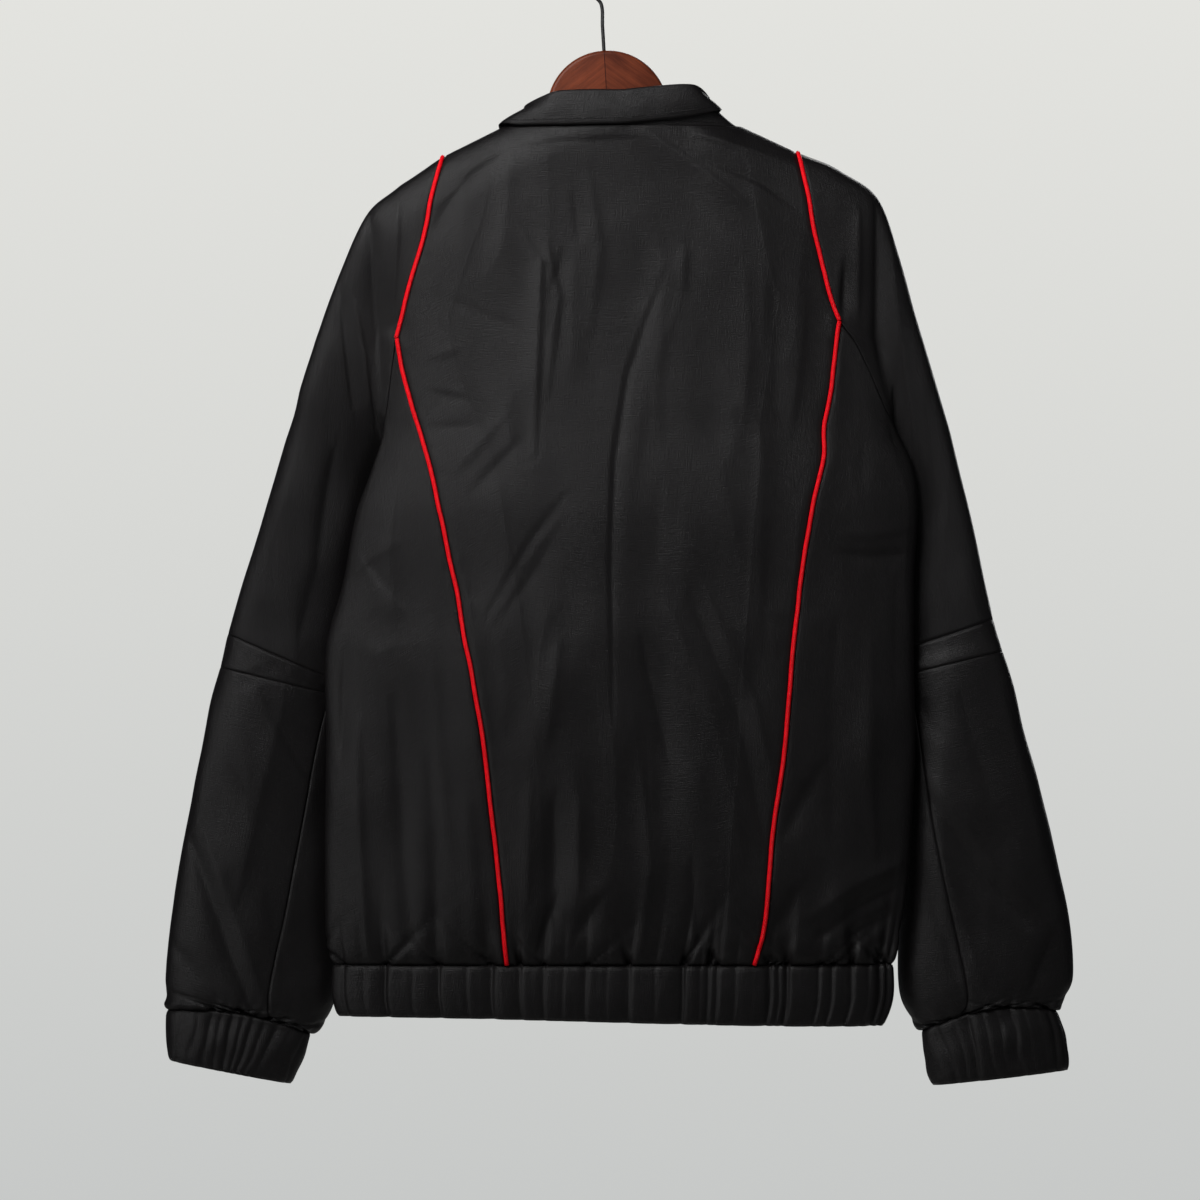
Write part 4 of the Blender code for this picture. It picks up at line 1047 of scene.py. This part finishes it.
def head_height(height, points, normals, v):
    """Height of a sleeve's head, with the body's creases run on and calm beside the body."""
    x, drop = points[..., 0], -points[..., 2]
    height = height + creased(points, normals, BODY) * (1.0 - ease(v * 2.0))
    height = height * calm_near_armhole(points)
    return height * lerp(below_ridge(x, drop), 1.0, ease(v * 7))


def head_seams(points, side, v, seams):
    """Depth of the seams round a sleeve's head: shallow where the armhole has no piping."""
    junction = np.where(points[:1, :, 1] > 0, FRONT_JUNCTION, JUNCTION[side])
    sides = HEAD_SEAM * ease(v * 8.0)
    return sides, sides, np.where(junction < -points[:1, :, 2], 0.1, seams[2]), seams[3]


def wrist_height(height, points, side, turns, above):
    """Height of a forearm, gathered and full above its cuff."""
    marks = [(place, 1.15 * deep) for place, deep in CUFF_GATHERS[side]]
    height = height * ease(above / 24.0) + puckers(marks, np.mod(turns, 1.0), above, 0.0038)
    deep = cuff_gathers(side, turns + drift(points, above)) * 1.9
    return height + fanned(deep, 0.3, 1.5, above, 22.0) + bulge(5.0, above, 26.0)


def sleeve_piece(name, at, side, span, first, last, cols, rows, seams, flat, area, seed):
    """Finished sheet of a sleeve between two turns, called with the share down, and two rows."""
    points, normals = tube_grid(at, side, *span, first, last, cols, rows)
    height = folded(points, normals, SLEEVES)
    v = np.linspace(0, 1, rows + 1)[:, None]
    if first == 0.0:
        seams = head_seams(points, side, v, seams)
        height = head_height(height, points, normals, v)
    if last > ELBOW_LOW + 1:
        turns = np.array([np.linspace(span[0](s), span[1](s), cols + 1) for s in v[:, 0]])
        height = wrist_height(height, points, side, turns, (1.0 - v) * FOREARM)
    points = points + normals * height[..., None]
    points = rolled(points, normals, seams, 0.9, 1.5, 0.4, seed)
    if first == 0.0:
        points, normals = tucked_in(points, normals)
    sheet_piece(name + "_cloth_" + side, name + "_" + side, points, normals, flat, area, wall=SLEEVE_WALL)


def cuff_gathers(side, turns):
    """Depth of the cuff's gathers at turns round the sleeve."""
    turns = np.mod(turns, 1.0)
    depth = np.zeros(np.shape(turns))
    for place, deep in CUFF_GATHERS[side]:
        s = np.mod(turns - place + 0.5, 1.0) - 0.5
        s = s / (np.where(s < 0, 0.006, 0.022) * (0.5 + 0.35 * deep))
        depth -= 0.6 * deep * deep * pleat(s)
    return depth


WHOLE_TURN = (lambda v: TURN_GAP - 0.5), (lambda v: 0.5 - TURN_GAP)


def make_sleeve(side):
    """Upper sleeve, elbow band and two forearm pieces."""
    first = armhole_ring(side)
    rings = [table_ring(row) for row in SLEEVE[side]]
    heads = [head_ring(first, rings[0], row) for row in SLEEVE_HEAD[side]]
    at = tube([first] + heads + rings)

    def seam(v):
        return float(hermite(FOREARM_SEAM, 1, v))

    gap, slit = ROW_GAP, TURN_GAP
    outer = (lambda v: slit - seam(v)), (lambda v: seam(v) - slit)
    under = (lambda v: seam(v) + slit), (lambda v: 1 - slit - seam(v))
    bands = [(0.0, ELBOW_TOP - gap), (ELBOW_TOP + gap, ELBOW_LOW - gap), (ELBOW_LOW + gap, CUFF_SEAM - gap)]
    pieces = [("sleeve_upper", WHOLE_TURN, bands[0], 156, 150, (0.6, 0.6, 1.4, 0.2), (0.39, 0.43)),
              ("elbow_band", WHOLE_TURN, bands[1], 156, 12, (0.6, 0.6, 0.15, 0.3), (0.25, 0.028)),
              ("forearm_outer", outer, bands[2], 112, 120, (0.6, 0.6, 0.4, 1), (0.22, 0.295)),
              ("forearm_under", under, bands[2], 50, 110, (0.6, 0.6, 0.4, 1), (0.12, 0.29))]
    for k, (name, span, band, cols, rows, seams, flat) in enumerate(pieces):
        sleeve_piece(name, at, side, span, *band, cols, rows, seams, flat, SLEEVE_AREAS[side][k], 51 + k)


def make_cuff(side):
    """Elastic cuff gathered round the wrist."""
    cuff = tube([table_ring(row) for row in CUFF[side]])
    points, normals = tube_grid(cuff, side, *WHOLE_TURN, -0.03, 2.0, 280, 18)
    v = np.linspace(0, 1, 19)[:, None]
    share = np.linspace(-0.5, 0.5, 281)[None, :] + (0.04 * noise(points, 26.0, 6) + 0.02) * v
    height = cuff_gathers(side, share) * (1.0 - 0.3 * v) + np.sin(math.pi * v) ** 0.8 + 0.6
    height = height + fine_gathers(points) + 1.1 * noise(points, 15.0, 9)
    points = points + normals * (height * ease(v * 6 + 0.3))[..., None]
    points = rolled(points, normals, (0.2, 0.2, 1, 1), 0.9, 1.9, 0.15)
    points, normals = tucked_in(points, normals)
    sheet_piece("cuff_cloth_" + side, "cuff_" + side, points, normals, (0.29, 0.054), 0.014,
                BAND)


# ======== collar
def collar_line(angle):
    """Middle line of the collar's wall at an angle from the back middle."""
    table = COLLAR_L if angle < 0 else COLLAR_R
    around = math.radians(angle)
    x = NECK_X + NECK_HALF * math.sin(around)
    back = abs(angle) <= 90.0
    drop = NECK_DROP if back else float(neck_front(x))
    side = "l" if angle < 0 else "r"
    foot = torso(turn(x, drop, not back, side), drop) + (0, 0, 1.0)
    out = unit(np.array([math.sin(around) / NECK_HALF, -math.cos(around) / 24.0, 0.0]))
    fold_x, fold_drop, fold_y, hem_drop = (hermite(table, k, abs(angle)) for k in (1, 2, 3, 4))
    fold = np.array([fold_x, fold_y, -fold_drop])
    hem = foot + out * 3.6
    if angle > 0:
        drawn = float(np.interp(angle, (30, 60, 90, 110, 140), (0.0, 0.45, 0.9, 0.5, 0.0)))
        hem[0] = lerp(hem[0], fold[0] + 4.0, drawn)
    hem[2] = -hem_drop
    low = np.array([0, 0, -2.6])
    inside, outside = fold - out * 2.3 + low, fold + out * 2.3 + low
    tucked = foot - out * 1.8 + (0, 0, -3.0)
    return np.array([tucked, (tucked + inside) / 2, inside, fold - out * 1.3, fold + out * 1.3,
                     outside, (outside + hem) / 2 + out * 0.8, hem])


def make_collar():
    """Turned-down collar: a stand, a soft fold and a fall with a stitched edge."""
    angles = np.linspace(-176.0, 176.0, 261)
    lines = []
    for line in map(collar_line, angles):
        step = np.sqrt(length_of(np.diff(line, axis=0)))
        lines.append(redrawn(line, np.concatenate([[0.0], np.cumsum(step)]), 37))
    points = np.array(lines).transpose(1, 0, 2)
    out = unit(np.cross(np.gradient(points, axis=0), np.gradient(points, axis=1)))
    wave = 0.5 * noise(points, 28.0, 61) + 0.2 * noise(points, 9.0, 62)
    points = points + out * (wave + 0.5)[..., None]
    points = rolled(points, out, (1, 1, 0, 1), 0.5, 1.8, 0.1)
    sheet_piece("collar_cloth", "collar", points, out, (0.48, 0.073), 0.025, COLLAR_CLOTH)


# ======== pipings, zip, hanger
def close_up(bm):
    """Bent grid made into one closed solid."""
    bmesh.ops.remove_doubles(bm, verts=bm.verts, dist=1e-7)
    bmesh.ops.holes_fill(bm, edges=[edge for edge in bm.edges if edge.is_boundary])
    bmesh.ops.recalc_face_normals(bm, faces=bm.faces)


def rope(name, centres, across, out, section, material):
    """Closed bar through centres with a section of (across, out) millimetres."""
    rows, cols = len(centres) - 1, len(section)
    ring = np.array(section + section[:1])
    points = centres[:, None] + across[:, None] * ring[None, :, :1] + out[:, None] * ring[None, :, 1:]
    bm, row, col = grid_shape(cols, rows)
    flat = points[row, col] * MM
    way, round_way = way_along(centres) * MM, way_along(points[0]) * MM
    cut = bm.loops.layers.uv.new("cut")
    for i, vert in enumerate(bm.verts):
        vert.co = flat[i]
        for loop in vert.link_loops:
            loop[cut].uv = (round_way[col[i]], way[row[i]])
    close_up(bm)
    return finish(name, bm, material)


def round_section(half_width, low, high, count=16):
    """Soft oval section."""
    turns = [2 * math.pi * k / count for k in range(count)]
    middle_out, half_out = (low + high) / 2, (high - low) / 2
    return [(half_width * math.cos(a), middle_out + half_out * math.sin(a)) for a in turns]


PIPING_SECTION = round_section(1.8, -1.5, 1.6)


def piping(name, places, node):
    """Red piping along places (theta, drop) that follows the folds beside it."""
    theta, drop = (np.array(c, float) for c in zip(*places))
    points, normals = frame_at(theta, drop)
    points = points + normals * (body_height(points, normals, theta, drop) - 0.1)[..., None]
    along = unit(np.gradient(points, axis=0))
    across = unit(np.cross(along, normals))
    out = np.cross(across, along)
    wobble = 0.35 * noise(points, 16.0, 71)[:, None]
    bar = rope(name, points + across * wobble, across, out, PIPING_SECTION, PIPING_CLOTH)
    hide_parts(node)


def make_pipings(side):
    """Piping over the shoulder and piping down the back."""
    back = [p for p in armhole(side, False, 0) if p[1] < JUNCTION[side] + 1.0]
    front = [p for p in armhole(side, True, 0) if p[1] < FRONT_JUNCTION - 12.0]
    back_curve, front_curve = path(back), path(front)
    shares = [(k / 90) ** 1.4 for k in range(91)]
    places = [back_curve(s) for s in reversed(shares)] + [front_curve(s) for s in shares[1:]]
    piping("shoulder_piping_" + side, places, "piping_armhole_" + side)
    points = seam_line(side, 0)[len(ARMHOLE_BACK[side]):]
    points[-1] = (points[-1][0], HEM_SEAM - 1.2)
    curve = path([(back[-1][0], back[-1][1] + 0.6)] + points)
    piping("back_piping_" + side, [curve(k / 220) for k in range(221)], "piping_back_" + side)


def make_zip():
    """Tapes, rows of teeth, slider and pull tab."""
    top = float(neck_front(NECK_X)) + 3.0
    for side in "lr":
        u, v = share_grid(8, 220)
        drop = lerp(top, HEM_SEAM + HEM_HEIGHT - 2.0, v)
        points, normals = frame_at(zip_turn(side, drop, lerp(SEAM / 2, ZIP_HALF, u)), drop)
        points = points + normals * (0.15 * noise(points, 30.0, 5))[..., None]
        sheet_piece("zip_tape_cloth_" + side, "zip_tape_" + side, points, normals, (0.014, 0.70), 0.0047,
                    material=TAPE, wall=TAPE_WALL)
    make_teeth(top)
    make_slider()


def block(size):
    """Box of a size."""
    bm = bmesh.new()
    bmesh.ops.create_cube(bm, size=1.0)
    bmesh.ops.scale(bm, vec=Vector(size), verts=bm.verts)
    return bm


def make_teeth(top):
    """Teeth below the slider, closed, and above it, apart."""
    tooth = block(TOOTH)
    bmesh.ops.bevel(tooth, geom=tooth.edges, offset=0.35, segments=1, profile=0.5, material=-1,
                    affect="EDGES")
    master = bpy.data.meshes.new("tooth")
    tooth.to_mesh(master)
    tooth.free()
    closed = np.arange(SLIDER_DROP + 8.0, HEM_SEAM + HEM_HEIGHT - 6.0, TOOTH_PITCH)
    apart = np.arange(top + 2.0, SLIDER_DROP - 4.0, 2 * TOOTH_PITCH)
    places = [(drop, "lr"[k % 2], 0.9) for k, drop in enumerate(closed)]
    places += [(drop, side, 1.6) for drop in apart for side in "lr"]
    teeth = bmesh.new()
    for drop, side, away in places:
        point, normal = frame_at(zip_turn(side, drop, away), np.array(drop))
        before = len(teeth.verts)
        teeth.from_mesh(master)
        teeth.verts.ensure_lookup_table()
        move = Vector(point + normal * 0.7)
        for vert in teeth.verts[before:]:
            vert.co = (vert.co + move) * MM
    finish("zip_teeth", teeth, METAL, smooth=False)


def make_slider():
    """Tapered slider with its bridge."""
    front, _ = frame_at(zip_turn("r", SLIDER_DROP, 0.0), np.array(SLIDER_DROP))
    x, z = float(front[0]), float(front[2])
    y = float(front[1]) + SLIDER[1] / 2 + 0.9
    body = block(SLIDER)
    bmesh.ops.subdivide_edges(body, edges=body.edges, cuts=4, use_grid_fill=True)
    for vert in body.verts:
        vert.co.x *= 0.72 + 0.28 * min(max((vert.co.z / SLIDER[2] + 0.5) * 1.6, 0.0), 1.0)
        vert.co.y *= 1.0 - 0.12 * (vert.co.x / SLIDER[0] * 2) ** 2
    sharp = [e for e in body.edges if len(e.link_faces) == 2 and e.calc_face_angle(0.0) > 0.8]
    bmesh.ops.bevel(body, geom=sharp, offset=0.5, segments=2, profile=0.5, material=-1, affect="EDGES")
    bmesh.ops.translate(body, vec=Vector((x, y, z)), verts=body.verts)
    bmesh.ops.scale(body, vec=Vector((MM, MM, MM)), verts=body.verts)
    slider = finish("slider_body", body, METAL)
    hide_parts("zip_slider")

    face = y + SLIDER[1] / 2
    turns = np.linspace(-1.0, 1.0, 25) * math.pi / 2
    out = face - 0.5 + 3.6 * np.cos(turns) ** 0.7
    centres = np.stack([np.full(25, x), out, z + 3.3 * np.sin(turns)], -1)
    along = unit(np.gradient(centres, axis=0))
    across = np.tile([1.0, 0.0, 0.0], (25, 1))
    rope("slider_bridge", centres, across, np.cross(across, along), round_section(0.85, -0.5, 0.5, 10),
         METAL)
    make_tab(x, face, z)


def make_tab(x, face, z):
    """Pull tab hung from the slider's bridge, with its slot."""
    half, thick, length = TAB[0] / 2, TAB[1], TAB[2]
    count = 64
    turns = 2 * np.pi * np.arange(count + 1) / count
    c, s = signed_power(np.cos(turns), 0.35), signed_power(np.sin(turns), 0.35)

    def outline(half_x, high, low):
        return np.stack([half_x * c, (high + low) / 2 + (high - low) / 2 * s], -1)

    inner, outer = outline(1.6, -0.6, -5.2), outline(half, 1.0, -length - 0.6)
    flat = lerp(inner[None], outer[None], np.linspace(0, 1, 7)[:, None, None])
    plate, row, col = grid_shape(count, 6)
    base = np.array([x, face + 1.35 + thick / 2, z + 0.2])
    for i, vert in enumerate(plate.verts):
        px, pz = flat[row[i], col[i]]
        swell = 0.25 * math.sin(math.pi * row[i] / 6.0)
        vert.co = Vector((base[0] + px, base[1] - 0.25 + swell, base[2] + pz)) * MM
    bmesh.ops.remove_doubles(plate, verts=plate.verts, dist=1e-7)
    plate.normal_update()
    if sum(f.normal.y * f.calc_area() for f in plate.faces) < 0:
        bmesh.ops.reverse_faces(plate, faces=plate.faces)
    tab = finish("tab_plate", plate, METAL, thick - 0.25, "pull_tab")
    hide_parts("zip_pull_tab")


def hanger_point(a, b, y):
    """Place in the hanger's tilted plane."""
    c, s = math.cos(HANGER_TILT), math.sin(HANGER_TILT)
    return np.stack([HANGER_X + a * c + b * s, y + 0 * a, -(HANGER_DROP + b * c - a * s)], -1)


def hanger_outline():
    """Fine closed outline of the hanger in its own plane."""
    half = []
    for k in range(1, 9):
        around = math.radians(10.0 * k)
        half.append((DOME * math.sin(around), DOME * (1.0 - math.cos(around))))
    half += ARM_TOP + ARM_TIP + ARM_LOW
    line = np.array([(0.0, 0.0)] + half + [(-a, b) for a, b in reversed(half[:-1])] + [(0.0, 0.0)])
    return redrawn(line, way_along(line), 361)


def make_hanger():
    """Flat wooden hanger with rounded edges."""
    line = hanger_outline()
    run = unit(np.roll(line[:-1], -1, 0) - np.roll(line[:-1], 1, 0))
    run = np.vstack([run, run[:1]])
    inward = np.stack([-run[:, 1], run[:, 0]], -1)
    turns = np.linspace(-math.pi / 2, math.pi / 2, 15)
    bm, row, col = grid_shape(360, 14)
    for i, vert in enumerate(bm.verts):
        around = turns[row[i]]
        inset = 3.6 * (1.0 - math.cos(around) ** 0.8)
        y = 6.0 * math.copysign(abs(math.sin(around)) ** 0.7, around)
        a, b = line[col[i]] + inward[col[i]] * inset
        vert.co = Vector(hanger_point(a, b, y)) * MM
    close_up(bm)
    wood = finish("hanger_shape", bm, WOOD)
    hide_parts("hanger_wood")


def make_hook():
    """Wire hook out of the top of the hanger."""
    radius = HOOK_INNER + WIRE
    keys = [hanger_point(0.0, b, 0.0) for b in (-0.03, -20.0, -38.0)]
    keys += [np.array((-4.0, 0.0, -43.0)), np.array((-10.0, 0.0, -36.0))]
    for k in range(15):
        around = math.radians(lerp(215.0, -38.0, k / 14))
        keys.append(np.array((radius * math.cos(around), 0.0, radius * math.sin(around) - HOOK_INNER)))
    centres = redrawn(np.array(keys), way_along(np.array(keys)), 241)
    along = unit(np.gradient(centres, axis=0))
    across = np.tile([0.0, 1.0, 0.0], (241, 1))
    hook = rope("hook_wire", centres, across, np.cross(along, across),
                round_section(WIRE, -WIRE, WIRE, 20), WIRE_PAINT)
    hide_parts("hanger_hook")


# ======== finishes
class Nodes:
    """Node tree with short ways to add to it."""

    def __init__(self, tree):
        self.tree = tree

    def join(self, value, socket):
        """Input set to a value, or linked to another node's output."""
        if isinstance(value, bpy.types.NodeSocket):
            self.tree.links.new(value, socket)
        else:
            socket.default_value = value

    def add(self, kind, **inputs):
        """New node with its inputs."""
        made = self.tree.nodes.new("ShaderNode" + kind)
        for key, value in inputs.items():
            self.join(value, made.inputs[key.replace("_", " ")])
        return made

    def math(self, operation, *values):
        """Result of a math node."""
        made = self.add("Math")
        made.operation = operation
        for value, socket in zip(values, made.inputs):
            self.join(value, socket)
        return made.outputs[0]

    def parts(self, vector):
        """Three parts of a vector."""
        return self.add("SeparateXYZ", Vector=vector).outputs

    def place(self, kind="Object"):
        """Coordinates of a kind."""
        return self.add("TexCoord").outputs[kind]

    def flat(self):
        """Coordinates on the flat cut, metres."""
        made = self.add("UVMap")
        made.uv_map = "cut"
        return made.outputs["UV"]

    def grain(self, vector, scale, detail=3.0, roughness=0.55):
        """Noise on a vector."""
        made = self.add("TexNoise", Vector=vector, Scale=scale, Detail=detail, Roughness=roughness)
        return made.outputs["Fac"]

    def threads(self, vector, across, down):
        """Noise drawn out by its own scale across and down."""
        mapped = self.add("Mapping", Vector=vector, Scale=(across, down, 1.0))
        return self.grain(mapped.outputs["Vector"], 1.0, 2.0)

    def ridges(self, way, pitch):
        """Waves at a pitch along a way."""
        return self.math("SINE", self.math("MULTIPLY", way, 2 * math.pi / pitch))

    def weave(self, flat, pitch):
        """Plain weave on flat coordinates."""
        x, y, _ = self.parts(flat)
        return self.math("MULTIPLY", self.ridges(x, pitch), self.ridges(y, pitch))

    def ramp(self, factor, low, high, start=0.3, stop=0.7):
        """Colour that goes from one to another between two factors."""
        made = self.add("ValToRGB", Fac=factor)
        for element, colour, position in zip(made.color_ramp.elements, (low, high), (start, stop)):
            element.color = (*colour, 1.0)
            element.position = position
        return made.outputs["Color"]


class Finish(Nodes):
    """Material with one principled shader."""

    def __init__(self, name, colour, roughness, **sockets):
        self.made = bpy.data.materials.new(name)
        self.made.use_nodes = True
        super().__init__(self.made.node_tree)
        self.shade(Base_Color=(*colour, 1.0), Roughness=roughness, **sockets)

    def shade(self, **sockets):
        """Inputs of the shader."""
        shader = self.tree.nodes["Principled BSDF"]
        for key, value in sockets.items():
            self.join(value, shader.inputs[key.replace("_", " ")])

    def bump(self, height, distance, strength):
        """Bump of a height in shares of a distance."""
        made = self.add("Bump", Strength=strength, Distance=distance, Height=height)
        self.shade(Normal=made.outputs["Normal"])


def stitches(net, flat, row_at):
    """Row of stitches at a distance in millimetres from a sheet's top and lower seams."""
    seam = net.add("Attribute")
    seam.attribute_name = "seam"
    from_seam = net.parts(seam.outputs["Vector"])["Z"]
    away = net.math("ABSOLUTE", net.math("SUBTRACT", from_seam, row_at))
    across = net.math("SUBTRACT", 1.0, net.math("MULTIPLY", away, 2.2))
    across = net.math("MAXIMUM", net.math("SMOOTH_MIN", across, 1.0, 0.1), 0.0)
    dash = net.math("GREATER_THAN", net.ridges(net.parts(flat)["X"], STITCH), -0.45)
    return net.math("MULTIPLY", across, dash)


def cloth_material(name, row_at=None):
    """Black satin-faced cloth, with a row of stitches beside its seams where one is given."""
    net = Finish(name, (0.008, 0.007, 0.0075), 0.5, Specular_IOR_Level=0.24)
    flat = net.flat()
    slubs = net.math("ADD", net.threads(flat, 90.0, 1300.0), net.threads(flat, 1300.0, 90.0))
    large = net.grain(flat, 26.0, 4.0)
    fine = net.grain(flat, 260.0, 4.0, 0.65)
    tone = net.math("MULTIPLY_ADD", slubs, 0.45, net.math("MULTIPLY_ADD", large, 0.4, -0.15))
    net.shade(Base_Color=net.ramp(tone, (0.0024, 0.0020, 0.0021), (0.0058, 0.0049, 0.0052)),
              Roughness=net.math("MULTIPLY_ADD", fine, 0.12, 0.40))
    height = net.math("MULTIPLY_ADD", net.weave(flat, 0.0007), 0.05, net.math("MULTIPLY", fine, 0.12))
    height = net.math("MULTIPLY_ADD", slubs, 0.8, height)
    if row_at is not None:
        height = net.math("MULTIPLY_ADD", stitches(net, flat, row_at), 0.9, height)
    net.bump(height, 0.0005, 0.7)
    return net.made


def piping_material():
    """Bright red cloth over the piping cord, woven on the slant."""
    net = Finish("red_piping_cloth", (0.70, 0.006, 0.016), 0.42, Specular_IOR_Level=0.15)
    flat = net.flat()
    x, y, _ = net.parts(flat)
    twill = net.ridges(net.math("ADD", x, y), 0.0011)
    mottle = net.grain(flat, 180.0)
    net.shade(Base_Color=net.ramp(mottle, (0.68, 0.001, 0.006), (0.93, 0.003, 0.012)))
    net.bump(net.math("MULTIPLY_ADD", twill, 0.25, mottle), 0.0004, 0.8)
    return net.made


def tape_material():
    """Ribbed zip tape."""
    net = Finish("zip_tape_weave", (0.012, 0.012, 0.013), 0.7, Specular_IOR_Level=0.3)
    flat = net.flat()
    mottle = net.grain(flat, 300.0)
    net.shade(Base_Color=net.ramp(mottle, (0.009, 0.009, 0.010), (0.016, 0.016, 0.017)))
    net.bump(net.math("ADD", net.weave(flat, 0.0009), mottle), 0.0003, 0.6)
    return net.made


def hard_material(name, colour, roughness, metallic, scale):
    """Moulded or painted finish with fine unevenness."""
    net = Finish(name, colour, roughness, Metallic=metallic)
    mottle = net.grain(net.place(), scale)
    net.shade(Base_Color=net.ramp(mottle, [0.8 * c for c in colour], [1.3 * c for c in colour]),
              Roughness=net.math("MULTIPLY_ADD", mottle, 0.2, roughness - 0.1))
    net.bump(mottle, 0.00012, 0.5)
    return net.made


def wood_material():
    """Varnished brown wood whose grain meets at a glue line in the middle, darker on its right."""
    net = Finish("varnished_wood", (0.15, 0.05, 0.03), 0.36, Specular_IOR_Level=0.12,
                 Coat_Weight=0.03, Coat_Roughness=0.3)
    place = net.place()
    x, y, z = net.parts(place)
    slope = math.sin(HANGER_TILT)
    centred = net.math("MULTIPLY_ADD", z, slope, net.math("ADD", x, -HANGER_X * MM))
    centred = net.math("ADD", centred, HANGER_DROP * MM * slope)
    aside = net.math("ABSOLUTE", centred)
    rise = net.math("MULTIPLY_ADD", aside, GRAIN_SLANT, z)
    run = net.math("MULTIPLY_ADD", z, -GRAIN_SLANT, aside)
    vector = net.add("CombineXYZ", X=net.math("MULTIPLY", rise, 260.0), Y=net.math("MULTIPLY", run, 22.0),
                     Z=net.math("MULTIPLY", y, 90.0))
    streak = net.grain(vector.outputs["Vector"], 1.0, 6.0, 0.62)
    broad = net.grain(place, 28.0)
    joint = net.math("LESS_THAN", aside, 0.00035)
    tone = net.math("MULTIPLY_ADD", broad, 0.35, net.math("MULTIPLY", streak, 0.7))
    tone = net.math("MULTIPLY_ADD", joint, -0.3, tone)
    tone = net.math("MULTIPLY_ADD", net.math("GREATER_THAN", centred, 0.0), -0.06, tone)
    net.shade(Base_Color=net.ramp(tone, (0.034, 0.006, 0.003), (0.226, 0.052, 0.020), 0.25, 0.8))
    net.bump(net.math("SUBTRACT", streak, joint), 0.00025, 0.5)
    return net.made


# ======== studio
def in_scene(name, data, at):
    """Object of some data in the scene."""
    made = bpy.data.objects.new(name, data)
    made.location = at
    bpy.context.scene.collection.objects.link(made)
    return made


def area_light(name, at, target, size, power, spread=180.0):
    """Soft square light turned to a place, with its spread in degrees."""
    data = bpy.data.lights.new(name, "AREA")
    data.size = size
    data.energy = power
    data.spread = math.radians(spread)
    light = in_scene(name, data, at)
    light.rotation_euler = (Vector(target) - Vector(at)).to_track_quat("-Z", "Y").to_euler()


def make_camera():
    """Camera square to the garment's back."""
    data = bpy.data.cameras.new("camera")
    data.lens = SENSOR * (CAMERA_AWAY + FIELD_Y) / FIELD
    data.sensor_width = SENSOR
    camera = in_scene("camera", data, (CAMERA_X, -CAMERA_AWAY, CAMERA_Z))
    camera.rotation_euler = (math.radians(90.0), 0.0, 0.0)
    bpy.context.scene.camera = camera
    bpy.context.scene.view_settings.view_transform = "Standard"


def make_studio():
    """Camera, soft lights, pale surroundings and floor; the backdrop that the camera sees has painted
    shade, darker towards the bottom.
    """
    make_camera()
    area_light("key", (-0.55, -0.95, 0.5), (0.0, 0.0, -0.12), 0.9, KEY, 90.0)
    area_light("rake", (-1.6, -1.2, -0.7), (0.0, 0.0, -0.75), 0.7, RAKE)
    area_light("fill", (1.9, -1.8, 0.1), (0.0, 0.0, -0.5), 1.4, FILL)
    area_light("front_soft", (0.6, 2.2, 0.4), (0.0, 0.0, -0.5), 1.8, REAR)

    world = bpy.data.worlds.new("studio")
    bpy.context.scene.world = world
    world.use_nodes = True
    net = Nodes(world.node_tree)
    shade = net.tree.nodes["Background"]
    shade.inputs["Color"].default_value = (0.9, 0.92, 1.0, 1.0)
    shade.inputs["Strength"].default_value = SURROUND
    # backdrop seen only by the camera: a pale wall with painted shade, lighter at the top and darker
    # towards the bottom
    share = net.math("MULTIPLY_ADD", net.parts(net.place("Generated"))["Z"], 4.8, 0.5)
    wall = net.ramp(share, (0.565, 0.577, 0.571), (0.776, 0.776, 0.745), 0.0, 1.0)
    painted_backdrop = net.add("Background", Color=wall, Strength=1.0)
    mix = net.add("MixShader", Fac=net.add("LightPath").outputs["Is Camera Ray"])
    net.join(shade.outputs["Background"], mix.inputs[1])
    net.join(painted_backdrop.outputs["Background"], mix.inputs[2])
    net.join(mix.outputs["Shader"], net.tree.nodes["World Output"].inputs["Surface"])

    bm = bmesh.new()
    bmesh.ops.create_circle(bm, cap_ends=True, segments=96, radius=2.0)
    bmesh.ops.translate(bm, vec=Vector((0.0, 0.0, FLOOR)), verts=bm.verts)
    mesh = bpy.data.meshes.new("floor")
    bm.to_mesh(mesh)
    bm.free()
    mesh.materials.append(Finish("pale_floor", (0.62, 0.62, 0.60), 0.8).made)
    in_scene("floor", mesh, (0.0, 0.0, 0.0))


CLOTH = cloth_material("black_satin")
BAND = cloth_material("black_satin_stitched", 2.2)
COLLAR_CLOTH = cloth_material("black_satin_collar", 5.0)
PIPING_CLOTH = piping_material()
TAPE = tape_material()
METAL = hard_material("black_zip_metal", (0.02, 0.02, 0.021), 0.32, 0.4, 900.0)
WIRE_PAINT = hard_material("black_wire_paint", (0.014, 0.014, 0.014), 0.3, 0.2, 700.0)
WOOD = wood_material()


def main():
    """Dress the frame."""
    make_studio()
    make_back()
    for side in "lr":
        make_back_side(side)
        make_front(side)
        make_sleeve(side)
        make_cuff(side)
        make_pipings(side)
    make_hem()
    make_collar()
    make_zip()
    make_hanger()
    make_hook()


main()
